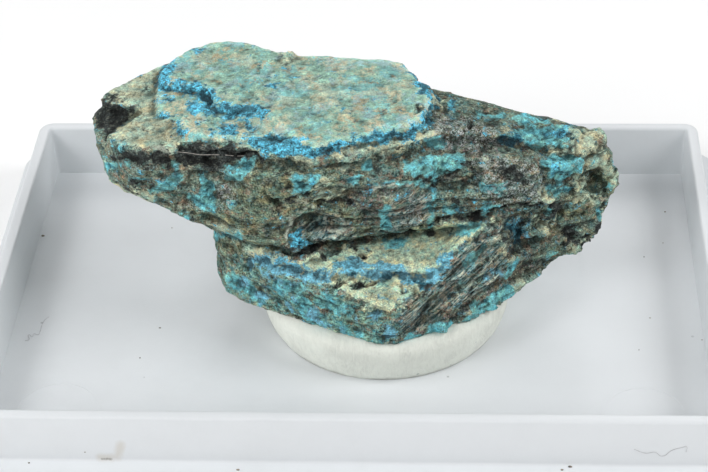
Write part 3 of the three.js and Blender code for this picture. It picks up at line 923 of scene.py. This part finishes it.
def crust_color(paint, settings):
    """The grey-green crust: turquoise, tan, rusty and pale stains, and ochre patches."""
    crust, powder = settings.crust, paint.powder
    color = paint.stained(
        paint.mottled(crust, toned(crust, 1.12), toned(crust, 0.8), powder, 0.56), powder,
        ((1, 9, 4), 0.7, 0.53, toned(settings.turquoise, 1.15), 0.5),
        ((5, 2, 8), 0.8, 0.55, toned(settings.tan, 1.1), 0.7),
        ((9, 6, 2), 1.1, 0.585, RUST_STAIN, 0.7),
        ((2, 8, 8), 0.9, 0.565, SKY_STAIN, 0.6))
    return paint.mix(paint.where("ochre", 3.0, 0.7) * 0.75, color,
                     paint.mottled(OCHRE, toned(OCHRE, 1.15), crust, powder, 0.54))


def blue_color(paint, settings):
    """The blue fringe, paler on the lower step."""
    blue = settings.blue
    color = paint.mottled(blue, toned(blue, 1.35), toned(blue, 0.3), paint.grit)
    low = 1 - paint.height_above().step(8.0, 2.0)
    return paint.mix(low * 0.7, color, paint.lit(LOW_BLUE, paint.soft_grit))


def stone_material(settings, along):
    """Layered rock under thin films and a crust. The mesh's masks say where each lies; noise frays its edge."""
    paint = StonePaint(along)
    on_slats = paint.where("striated", 2.6, 0.5)
    color = rock_color(paint, settings, on_slats)
    color = paint.mix(paint.where("turquoise", 1.5), color, film_color(paint, settings))
    warm = paint.cloud(paint.stretched((1000, 1000, 1300), (5.5, 6.6, 1.8)), 1.5, 4, 0.65)
    drift = paint.ramp(warm, [(0.36, (0.62, 0.8, 0.86)), (0.5, (0.8, 0.8, 0.78)), (0.64, (0.98, 0.8, 0.66))])
    color = paint.mix(1.0, color, paint.lit(drift, 1.25), "MULTIPLY")
    on_crust = paint.where("crust", 1.2, 0.12)
    color = paint.mix(on_crust, color, crust_color(paint, settings))
    on_blue = paint.where("blue", 3.6, 0.3)
    bare = (1 - on_crust) * (1 - on_blue)
    sparkle = ((paint.fine - 0.5) + (paint.flecks - 0.5) * 0.8).step(0.06, 0.03)
    color = paint.mix(paint.where("frost", 3.0, 0.6) * sparkle * bare * 0.9, color, FROST)
    color = paint.mix(on_blue, color, blue_color(paint, settings))
    # Painted shade: a darker copy of the blue where the fringe lies in gaps and grooves
    navy = paint.lit(toned(settings.blue, 0.38), paint.grit.higher(0.2))
    color = paint.mix(paint.where("navy", 3.0, 0.3), color, navy)
    color = paint.mix(paint.where("pale", 1.5), color, paint.lit(PALE, paint.soft_grit))
    # Black rock, and painted shade in the deep cracks and recesses that the black mask covers.
    black = paint.mottled(settings.black, toned(settings.black, 2.2), SOOT_GRAIN, paint.grit, 0.59)
    color = paint.mix(paint.where("black", 3.2, 0.35), color, black)
    seams = (1 - paint.stripes.away(0.5).step(0.012, 0.014)) * paint.broad.step(0.5, 0.1)
    color = paint.mix(seams * bare * 0.5, color, SEAM)
    specks = paint.cells(paint.stretched(EVEN, (3.1, 7.7, 1.9)), 4.5)
    pocks = (1 - specks.step(0.12, 0.1)) * paint.broad.step(0.52, 0.12) * (1 - on_crust * 0.85)
    color = paint.mix(pocks * 0.7, color, POCK)
    # Painted shade and highlight: the colour is darkened in the stone's hollows and lightened on its edges.
    hollow = paint.mask("hollow")
    color = paint.lit(color, 1.5 - hollow * 0.9 - hollow.step(0.85, 0.3) * 0.25)
    grainy = paint.fine * 0.9 + paint.middle * (0.5 - on_crust * 0.35) - paint.grains * 0.4
    layered = paint.striae * on_slats * 1.2 + paint.stripes * bare * 0.7 - seams * bare * 0.2
    paint.height(grainy + layered - pocks * 0.6, 0.13 * MM, 0.9)
    return paint.finish(color, 0.88 - on_crust * 0.1 - on_blue * 0.12)


PALE_EDGES = {
    # thin pale edges of single layers: pixels along each
    "band_edge": [(177, 152), (189, 152.5), (201, 153.8), (213, 154), (226, 155.2), (238, 156), (250, 157)],
}


class SPECIMEN_OT_edges(bpy.types.Operator):
    """Lays the thin pale edge of the layer that crosses the black band"""

    bl_idname = "specimen.edges"
    bl_label = "Pale edges"

    def execute(self, context):
        land = caster(bpy.data.objects["stone"])
        pieces = []
        for name, pixels in PALE_EDGES.items():
            hits = [land(x, y) for x, y in pixels]
            middle = sum((place.y for place, _ in hits), 0.0) / len(hits)
            points = [Vector((place.x, 0.4 * place.y + 0.6 * middle, place.z)) for place, _ in hits]
            pieces.append(fibre(name, points, 0.02 * MM))
        paint = Paint("pale_edges", {"Roughness": 0.8})
        tone = paint.cloud(paint.stretched(), 5.0, 4, 0.7)
        color = paint.ramp(tone, [(0.35, (0.2, 0.19, 0.17)), (0.6, (0.5, 0.47, 0.43))])
        piece = join(pieces)
        piece.data.shade_smooth()
        settle(piece, "pale_edges", None, "stone", paint.finish(color))
        return {"FINISHED"}


def fine_copy(node, detail):
    """A copy of a CAD node with its corners merged, remeshed in small even faces and smoothed."""
    piece = node.copy()
    piece.data = node.data.copy()
    piece.parent = None
    bpy.context.scene.collection.objects.link(piece)
    select_only(piece)
    bpy.ops.object.mode_set(mode="EDIT")
    bpy.ops.mesh.select_all(action="SELECT")
    bpy.ops.mesh.remove_doubles(threshold=0.001 * MM)
    bpy.ops.object.mode_set(mode="OBJECT")
    apply_modifier(piece, "REMESH", mode="VOXEL", voxel_size=detail)
    apply_modifier(piece, "SMOOTH", factor=0.5, iterations=4)
    return piece


def bare_share(masks):
    """1 on rock and 0 on the crust."""
    return 1 - np.clip(1.6 * masks["crust"] - 0.4, 0, 1)


def layer_relief(shape, seen, masks, settings):
    """Thick and thin rock layers, in metres outwards: strong on steep bare faces, weak on massive rock."""
    places = shape.points / MM
    steep = np.clip(1.2 - 1.3 * np.abs(shape.normals[:, 2]), 0, 1)
    across = to_pixels(shape.points)[:, 0]
    massive = seen * (1 - np.clip((across - 280) / 70, 0, 1) * np.clip((555 - across) / 25, 0, 1))
    uneven = np.clip(0.55 + 1.3 * stone_noise(places, 0.3, 77.7, 2) + 0.035 * places[:, 0], 0.2, 1.1)
    rough = (1 - 0.65 * massive) * (1 - 0.6 * masks["striated"]) * (1 - 0.7 * masks["turquoise"]) * uneven
    layers = layer_offsets(places, settings.layer / MM, 5.0)
    thin = layer_offsets(places, 0.45 * settings.layer / MM, 31.0)
    return steep * bare_share(masks) * rough * settings.relief * (layers + 0.45 * thin)


def grain_relief(places, masks, settings):
    """Chips, lumps and grains of rock, a gentler crust and its fringe's knobs, in metres outwards."""
    bare = bare_share(masks)
    chips = stone_cells(places, 0.9, 3.3) - 0.5
    lumps = stone_noise(places, 1.1, 12.9)
    grains = stone_noise(places, 3.4, 7.1, 2)
    knobs = 0.5 - stone_cells(places, 3.2, 1.7)
    blue = np.clip(2 * masks["blue"] - 0.7, 0, 1)
    calm = np.clip(2 * np.max([masks[kind] for kind in ("tan", "sand", "striated")], axis=0) - 0.6, 0, 1)
    rock = bare * (1 - 0.6 * calm) * (0.14 * MM * chips + 0.1 * MM * lumps + settings.grain * grains)
    return rock + (1 - bare) * (0.05 * MM * lumps + 0.02 * MM * grains) + blue * 0.13 * MM * knobs


class SPECIMEN_OT_stone(bpy.types.Operator):
    """Builds the stone from its CAD form: finer layers, cracks, pits and the crust"""

    bl_idname = "specimen.stone"
    bl_label = "Stone"

    def execute(self, context):
        settings = context.scene.stone_settings
        piece = fine_copy(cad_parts["specimen"], settings.detail)
        shape = StoneShape(piece)
        places = shape.points / MM
        seen = spread(shape.seen(), shape.edges, shape.count, 3)
        masks = stone_masks(shape, seen)
        shape.move(layer_relief(shape, seen, masks, settings))
        shape.move(grain_relief(places, masks, settings))
        shape.move(stone_relief(shape, seen))
        shape.ease(seen, *FILLED)
        masks["hollow"] = stone_hollows(shape)
        for kind, values in masks.items():
            attribute = shape.mesh.attributes.new(kind, "FLOAT", "POINT")
            attribute.data.foreach_set("value", values.astype(np.float32))
        piece.data.shade_smooth()
        start, end = (shape.nearest_seen(pixel, seen) for pixel in STRIAE_ENDS)
        settle(piece, "stone", "specimen", "stone", stone_material(settings, Vector(end - start)))
        return {"FINISHED"}


# The putty pad

PAD_FOOT = 0.915  # its radius at the bottom, as a share of the widest radius
PAD_PROFILE = [
    # share of the height, share of the widest radius
    (0.06, 0.93), (0.2, 0.96), (0.4, 0.985), (0.62, 1.0), (0.8, 0.998), (0.91, 0.975), (0.98, 0.93),
    (1.0, 0.87),
]
PAD_RINGS = (0.7, 0.45, 0.2)  # rings on its top, as shares of the widest radius
FOOT_TONE = (0.42, 0.42, 0.38)
PAD_DUST = (0.12, 0.2, 0.2)


def pad_material(settings):
    """Dull putty, finely fibrous, darker in a line at its foot where it meets the box."""
    paint = Paint("putty", {"Roughness": 0.8, "Specular IOR Level": 0.3})
    even = paint.stretched()
    fibres = paint.cloud(paint.stretched((2600, 700, 900)), 1.6, 4, 0.6, 1.5)
    blotches = paint.cloud(even, 0.7, 3, 0.5)
    fine = paint.cloud(even, 7.0, 3, 0.6)
    tone = (fibres - 0.5) * 0.7 + (blotches - 0.5) * 0.8 + 0.5
    color = paint.ramp(tone, [(0.25, toned(settings.color, 0.86)), (0.5, settings.color),
                              (0.8, toned(settings.color, 1.08))])
    # Darker towards the foot, where the pad meets the box.
    foot = 1 - (paint.height_above() + (blotches - 0.5) * 1.2).step(float(PAD_LOW[2] / MM) + 0.18, 0.3)
    color = paint.mix(foot * 0.55, color, FOOT_TONE)
    dots = paint.cells(paint.stretched(EVEN, (2.2, 4.1, 0.3)), 0.85)
    dust = (1 - dots.step(0.075, 0.03)) * blotches.step(0.5, 0.05)
    color = paint.mix(dust * 0.8, color, PAD_DUST)
    paint.height(fine * 0.5 + fibres, 0.08 * MM, 0.6)
    return paint.finish(color)


class SPECIMEN_OT_pad(bpy.types.Operator):
    """Builds the putty pad: a ring drawn up in steps, rounded over and made uneven"""

    bl_idname = "specimen.pad"
    bl_label = "Putty pad"

    def execute(self, context):
        settings = context.scene.pad_settings
        centre = (PAD_LOW + PAD_HIGH) / 2
        widest = (PAD_HIGH[0] - PAD_LOW[0]) / 2
        tall = PAD_HIGH[2] - PAD_LOW[2]
        bpy.ops.object.select_all(action="DESELECT")
        bpy.ops.mesh.primitive_circle_add(vertices=128, radius=widest * PAD_FOOT, fill_type="NGON",
                                          location=(centre[0], centre[1], PAD_LOW[2]))
        piece = context.object
        bpy.ops.object.mode_set(mode="EDIT")
        bpy.ops.mesh.select_mode(type="FACE")
        height, radius = 0.0, PAD_FOOT
        for share, wide in PAD_PROFILE:
            rise = (0, 0, (share - height) * tall)
            bpy.ops.mesh.extrude_region_move(TRANSFORM_OT_translate={"value": rise})
            bpy.ops.transform.resize(value=(wide / radius, wide / radius, 1))
            height, radius = share, wide
        for share in PAD_RINGS:
            bpy.ops.mesh.inset(thickness=(radius - share) * widest)
            radius = share
        bpy.ops.mesh.select_all(action="SELECT")
        bpy.ops.mesh.normals_make_consistent(inside=False)
        bpy.ops.object.mode_set(mode="OBJECT")
        select_only(piece)
        bpy.ops.object.transform_apply(location=True, rotation=True, scale=True)
        apply_modifier(piece, "SUBSURF", subdivision_type="SIMPLE", levels=1, render_levels=1)
        lumps = bpy.data.textures.new("putty_lumps", "CLOUDS")
        lumps.noise_scale = 2.2 * MM
        around = piece.vertex_groups.new(name="side")
        side = [vertex.index for vertex in piece.data.vertices
                if PAD_LOW[2] + 0.1 * MM < vertex.co.z < PAD_HIGH[2] - 0.05 * MM]
        around.add(side, 1.0, "REPLACE")
        apply_modifier(piece, "DISPLACE", texture=lumps, texture_coords="LOCAL", strength=settings.lumps,
                       mid_level=0.5, vertex_group="side")
        piece.data.shade_smooth()
        settle(piece, "putty_puck", "putty_pad", "putty", pad_material(settings))
        return {"FINISHED"}


# The box base

LEAN = 0.045  # how far the wall leans in for each unit of its height
MARK_PLACES = ((-16.1, -9.8), (16.1, -9.8))  # the mould's round marks, in millimetres
MARK_STEP = 0.02 * MM  # how far a mark's middle lies below its ring
STRAIGHT_UP = 0.9  # a face whose normal points up more than this is level
SMEAR = ((101, 457), (117, 457), (121, 444), (102, 459), (111, 459))  # its foot, its top, a dark line below it
GREY_DUST = (0.2, 0.21, 0.22)

FIBRE_RADIUS = 0.012 * MM
FIBRE_LIFT = 0.02 * MM  # from the surface it lies on
FIBRES = {
    # name: pixels along it
    "hair": [(49, 317), (45, 320), (42, 325), (40, 332), (38, 335), (34, 334), (32, 337), (29, 335),
             (29, 340), (25, 341)],
    "curl": [(634, 449), (646, 453), (655, 452), (662, 456), (672, 450), (683, 447), (686, 446), (686, 452)],
    "lint": [(563, 241), (566, 243)],
}
SPECKS = {
    # pixel of each dark crumb, and its half width in millimetres
    (43, 236): 0.08, (160, 328): 0.05, (140, 358): 0.04, (665, 212): 0.05, (644, 257): 0.035,
    (650, 318): 0.035, (702, 340): 0.035, (663, 243): 0.03, (639, 350): 0.03, (172, 228): 0.035,
    (29, 463): 0.045, (85, 452): 0.035, (238, 470): 0.07, (562, 470): 0.06, (570, 467): 0.08,
}


def box_material(settings, smear):
    """White polystyrene: faintly blotched, finely scuffed and dusty, with one pale brown smear."""
    paint = Paint("box_plastic", {})
    even = paint.stretched()
    clouds = paint.cloud(even, 0.09, 3, 0.5)
    haze = paint.cloud(even, 0.5, 4, 0.6)
    dust = paint.cloud(even, 9.0, 2, 0.5)
    scuffs = paint.cloud(paint.stretched((900, 90, 300)), 2.0, 4, 0.7, 1.0)
    tone = (clouds - 0.5) * 0.5 + (haze - 0.5) * 0.35 + (dust - 0.5) * 0.12 + 0.5
    color = paint.ramp(tone, [(0.2, toned(settings.color, 0.93)), (0.5, settings.color),
                              (0.8, toned(settings.color, 1.04))])
    foot, top, dark = (paint.reach(*ends) for ends in (smear[0:2], smear[1:3], smear[3:5]))
    stain = (0.9 - paint.number("ShaderNodeMath", {"operation": "MINIMUM"}, {0: foot, 1: top}) / 0.32
             + (haze - 0.5) * 3.0 + (dust - 0.5) * 0.4).clamp()
    color = paint.mix(stain * 0.38, color, settings.smear)
    line = (0.9 - dark / 0.1 + (dust - 0.5) * 1.0).clamp()
    color = paint.mix(line * 0.75, color, toned(settings.smear, 0.25))
    grime = paint.cells(paint.stretched(EVEN, (0.7, 2.6, 5.1)), 0.35)
    dots = (1 - grime.step(0.03, 0.015)) * haze.step(0.5, 0.1)
    color = paint.mix(dots * 0.55, color, GREY_DUST)
    paint.height(haze * 0.5 + dust * 0.25 + scuffs.step(0.62, 0.1) * 0.2, 0.02 * MM, 0.35)
    return paint.finish(color, 0.3 + haze * 0.16 + scuffs.step(0.6, 0.1) * 0.1)


def box_body(settings):
    """The moulded base: a slab with round corners, drawn up into a wall and down again to the floor."""
    wide, deep = (BOX_HIGH - BOX_LOW)[:2]
    middle = (BOX_HIGH + BOX_LOW) / 2
    floor = PAD_LOW[2]
    rim = BOX_HIGH[2]
    bpy.ops.object.select_all(action="DESELECT")
    bpy.ops.mesh.primitive_cube_add(size=1, location=(middle[0], middle[1], settings.ledge / 2))
    piece = bpy.context.object
    piece.scale = (wide, deep, settings.ledge)
    bpy.ops.object.transform_apply(location=True, rotation=False, scale=True)
    bpy.ops.object.mode_set(mode="EDIT")
    pick(piece, "edges", lambda edge: abs(edge.verts[0].co.z - edge.verts[1].co.z) > settings.ledge / 2)
    bpy.ops.mesh.bevel(offset=settings.corner, segments=8, affect="EDGES")
    pick(piece, "faces", lambda face: face.normal.z > STRAIGHT_UP)
    tall = rim - settings.ledge
    bpy.ops.mesh.inset(thickness=settings.foot - LEAN * tall)
    bpy.ops.mesh.extrude_region_move(TRANSFORM_OT_translate={"value": (0, 0, tall)})
    outer = [1 - 2 * LEAN * tall / (size - 2 * settings.foot) for size in (wide, deep)]
    bpy.ops.transform.resize(value=(*outer, 1), center_override=(middle[0], middle[1], rim))
    bpy.ops.mesh.inset(thickness=settings.wall)
    bpy.ops.mesh.extrude_region_move(TRANSFORM_OT_translate={"value": (0, 0, floor - rim)})
    inner = [1 - 2 * LEAN * (rim - floor) / (size - 2 * settings.foot - 2 * settings.wall)
             for size in (wide, deep)]
    bpy.ops.transform.resize(value=(*inner, 1), center_override=(middle[0], middle[1], floor))
    levels = (BOX_LOW[2], settings.ledge, rim)
    pick(piece, "edges", lambda edge: edge.calc_face_angle() > 0.9
         and any(all(abs(v.co.z - level) < 0.01 * MM for v in edge.verts) for level in levels))
    bpy.ops.mesh.bevel(offset=settings.soft, segments=3, affect="EDGES")
    bpy.ops.object.mode_set(mode="OBJECT")
    return piece


def mould_mark(x, y, settings):
    """A round mark that the mould leaves on the floor: a disc a hair above it, with a soft edge."""
    bpy.ops.object.select_all(action="DESELECT")
    bpy.ops.mesh.primitive_cylinder_add(vertices=96, radius=settings.mark, depth=0.3 * MM,
                                        location=(x, y, PAD_LOW[2] - 0.125 * MM))
    piece = bpy.context.object
    bpy.ops.object.mode_set(mode="EDIT")
    pick(piece, "faces", lambda face: face.normal.z > STRAIGHT_UP)
    bpy.ops.mesh.inset(thickness=0.12 * MM)
    bpy.ops.mesh.inset(thickness=0.1 * MM)
    bpy.ops.mesh.extrude_region_move(TRANSFORM_OT_translate={"value": (0, 0, -MARK_STEP)})
    bpy.ops.object.mode_set(mode="OBJECT")
    select_only(piece)
    bpy.ops.object.transform_apply(location=True, rotation=True, scale=True)
    return piece


class SPECIMEN_OT_box(bpy.types.Operator):
    """Builds the box base and the marks of its mould"""

    bl_idname = "specimen.box"
    bl_label = "Box base"

    def execute(self, context):
        settings = context.scene.box_settings
        body = box_body(settings)
        marks = [mould_mark(x * MM, y * MM, settings) for x, y in MARK_PLACES]
        piece = join([body, *marks])
        select_only(piece)
        bpy.ops.object.shade_smooth_by_angle(angle=math.radians(35))
        land = caster(piece)
        smear = [land(x, y)[0] for x, y in SMEAR]
        settle(piece, "box", "box_base", "box_plastic", box_material(settings, smear))
        return {"FINISHED"}


def fibre(name, points, radius):
    """A thin fibre through the points."""
    curve = bpy.data.curves.new(name, "CURVE")
    curve.dimensions = "3D"
    curve.bevel_depth = radius
    curve.bevel_resolution = 1
    curve.resolution_u = 6
    curve.use_fill_caps = True
    spline = curve.splines.new("BEZIER")
    spline.bezier_points.add(len(points) - 1)
    for knot, point in zip(spline.bezier_points, points):
        knot.co = point
        knot.handle_left_type = "AUTO"
        knot.handle_right_type = "AUTO"
    piece = bpy.data.objects.new(name, curve)
    bpy.context.scene.collection.objects.link(piece)
    select_only(piece)
    bpy.ops.object.convert(target="MESH")
    return bpy.context.object


def crumb(x, y, z, radius, seed):
    """A rough crumb: a ball pushed about and pressed flat."""
    bpy.ops.object.select_all(action="DESELECT")
    bpy.ops.mesh.primitive_ico_sphere_add(subdivisions=2, radius=radius, location=(x, y, z))
    piece = bpy.context.object
    bpy.ops.object.mode_set(mode="EDIT")
    bpy.ops.mesh.select_all(action="SELECT")
    bpy.ops.transform.vertex_random(offset=radius * 0.25, seed=seed)
    bpy.ops.transform.resize(value=(1.3, 0.9, 0.6), center_override=(x, y, z))
    bpy.ops.object.mode_set(mode="OBJECT")
    bpy.ops.object.transform_apply(location=True, rotation=True, scale=True)
    return piece


class SPECIMEN_OT_dust(bpy.types.Operator):
    """Lays the fibres and crumbs that the photo shows in the box base"""

    bl_idname = "specimen.dust"
    bl_label = "Dust"

    def execute(self, context):
        land = caster(bpy.data.objects["box"])
        lint = []
        for name, pixels in FIBRES.items():
            hits = [land(x, y) for x, y in pixels]
            lint.append(fibre(name, [place + normal * FIBRE_LIFT for place, normal in hits], FIBRE_RADIUS))
        crumbs = []
        for seed, ((x, y), radius) in enumerate(SPECKS.items()):
            place, normal = land(x, y)
            crumbs.append(crumb(*(place + normal * 0.3 * radius * MM), radius * MM, seed))
        for name, pieces, dark, pale in (("lint", lint, (0.36, 0.36, 0.38), (0.55, 0.55, 0.57)),
                                         ("crumbs", crumbs, (0.08, 0.07, 0.06), (0.3, 0.26, 0.2))):
            paint = Paint(name, {"Roughness": 0.8})
            color = paint.ramp(paint.cloud(paint.stretched(), 4.0), [(0.35, dark), (0.65, pale)])
            piece = join(pieces)
            piece.data.shade_smooth()
            settle(piece, name, None, "box_plastic", paint.finish(color))
        return {"FINISHED"}


# The stage

class SPECIMEN_OT_stage(bpy.types.Operator):
    """Sets up the floor, the soft light and the photographer's camera"""

    bl_idname = "specimen.stage"
    bl_label = "Stage"

    def execute(self, context):
        settings = context.scene.stage_settings
        scene = context.scene
        bpy.ops.object.select_all(action="DESELECT")
        bpy.ops.mesh.primitive_plane_add(size=3.0, location=(0, 0, BOX_LOW[2] - 0.02 * MM))
        floor = context.object
        floor.name = "floor"
        paint = Paint("floor", {"Roughness": 0.9})
        tone = paint.cloud(paint.stretched((12, 12, 12)), 1.0)
        color = paint.ramp(tone, [(0.3, toned(settings.floor, 0.985)), (0.7, settings.floor)])
        floor.data.materials.append(paint.finish(color))
        world = bpy.data.worlds.new("studio")
        world.use_nodes = True
        world.node_tree.nodes["Background"].inputs["Color"].default_value = (0.96, 0.98, 1.0, 1.0)
        world.node_tree.nodes["Background"].inputs["Strength"].default_value = settings.sky
        scene.world = world
        target = Vector((0, 0, 6 * MM))
        for name, (place, size, share) in LAMPS.items():
            light = bpy.data.lights.new(name, "AREA")
            light.shape = "SQUARE"
            light.size = size * MM
            light.energy = settings.power * share
            lamp = bpy.data.objects.new(name, light)
            lamp.location = Vector(place) * MM
            lamp.rotation_euler = (target - lamp.location).to_track_quat("-Z", "Y").to_euler()
            scene.collection.objects.link(lamp)
        right, up, forward = camera_axes()
        lens = bpy.data.cameras.new("photographer")
        lens.sensor_width = 36
        lens.lens = FOCAL_PIXELS / PHOTO_SIZE[0] * lens.sensor_width
        lens.clip_start = 1 * MM
        lens.clip_end = 10
        camera = bpy.data.objects.new("photographer", lens)
        turn = Matrix((right, up, -forward)).transposed()
        roll = Matrix.Rotation(math.radians(CAMERA_ROLL), 3, "Z")
        camera.matrix_world = Matrix.Translation(CAMERA_PLACE * MM) @ (turn @ roll).to_4x4()
        scene.collection.objects.link(camera)
        scene.camera = camera
        scene.view_settings.view_transform = "Standard"
        return {"FINISHED"}


class SPECIMEN_PT_panel(bpy.types.Panel):
    """Lists the pieces of the specimen"""

    bl_idname = "SPECIMEN_PT_panel"
    bl_label = "Specimen"
    bl_space_type = "VIEW_3D"
    bl_region_type = "UI"
    bl_category = "Specimen"

    def draw(self, context):
        for operator, name in STEPS:
            column = self.layout.column(align=True)
            column.operator(operator.bl_idname)
            if name:
                settings = getattr(context.scene, name)
                for field in settings.__annotations__:
                    column.prop(settings, field)


STEPS = [
    (SPECIMEN_OT_stage, "stage_settings"),
    (SPECIMEN_OT_box, "box_settings"),
    (SPECIMEN_OT_dust, None),
    (SPECIMEN_OT_pad, "pad_settings"),
    (SPECIMEN_OT_stone, "stone_settings"),
    (SPECIMEN_OT_edges, None),
]
SETTINGS = {
    "stage_settings": StageSettings,
    "box_settings": BoxSettings,
    "pad_settings": PadSettings,
    "stone_settings": StoneSettings,
}


def register():
    for group in SETTINGS.values():
        bpy.utils.register_class(group)
    for operator, _ in STEPS:
        bpy.utils.register_class(operator)
    bpy.utils.register_class(SPECIMEN_PT_panel)
    for name, group in SETTINGS.items():
        setattr(bpy.types.Scene, name, PointerProperty(type=group))


def unregister():
    for name in SETTINGS:
        delattr(bpy.types.Scene, name)
    bpy.utils.unregister_class(SPECIMEN_PT_panel)
    for operator, _ in reversed(STEPS):
        bpy.utils.unregister_class(operator)
    for group in SETTINGS.values():
        bpy.utils.unregister_class(group)


def main():
    register()
    bpy.ops.specimen.stage()
    bpy.ops.specimen.box()
    bpy.ops.specimen.dust()
    bpy.ops.specimen.pad()
    bpy.ops.specimen.stone()
    bpy.ops.specimen.edges()


if __name__ == "__main__":
    main()
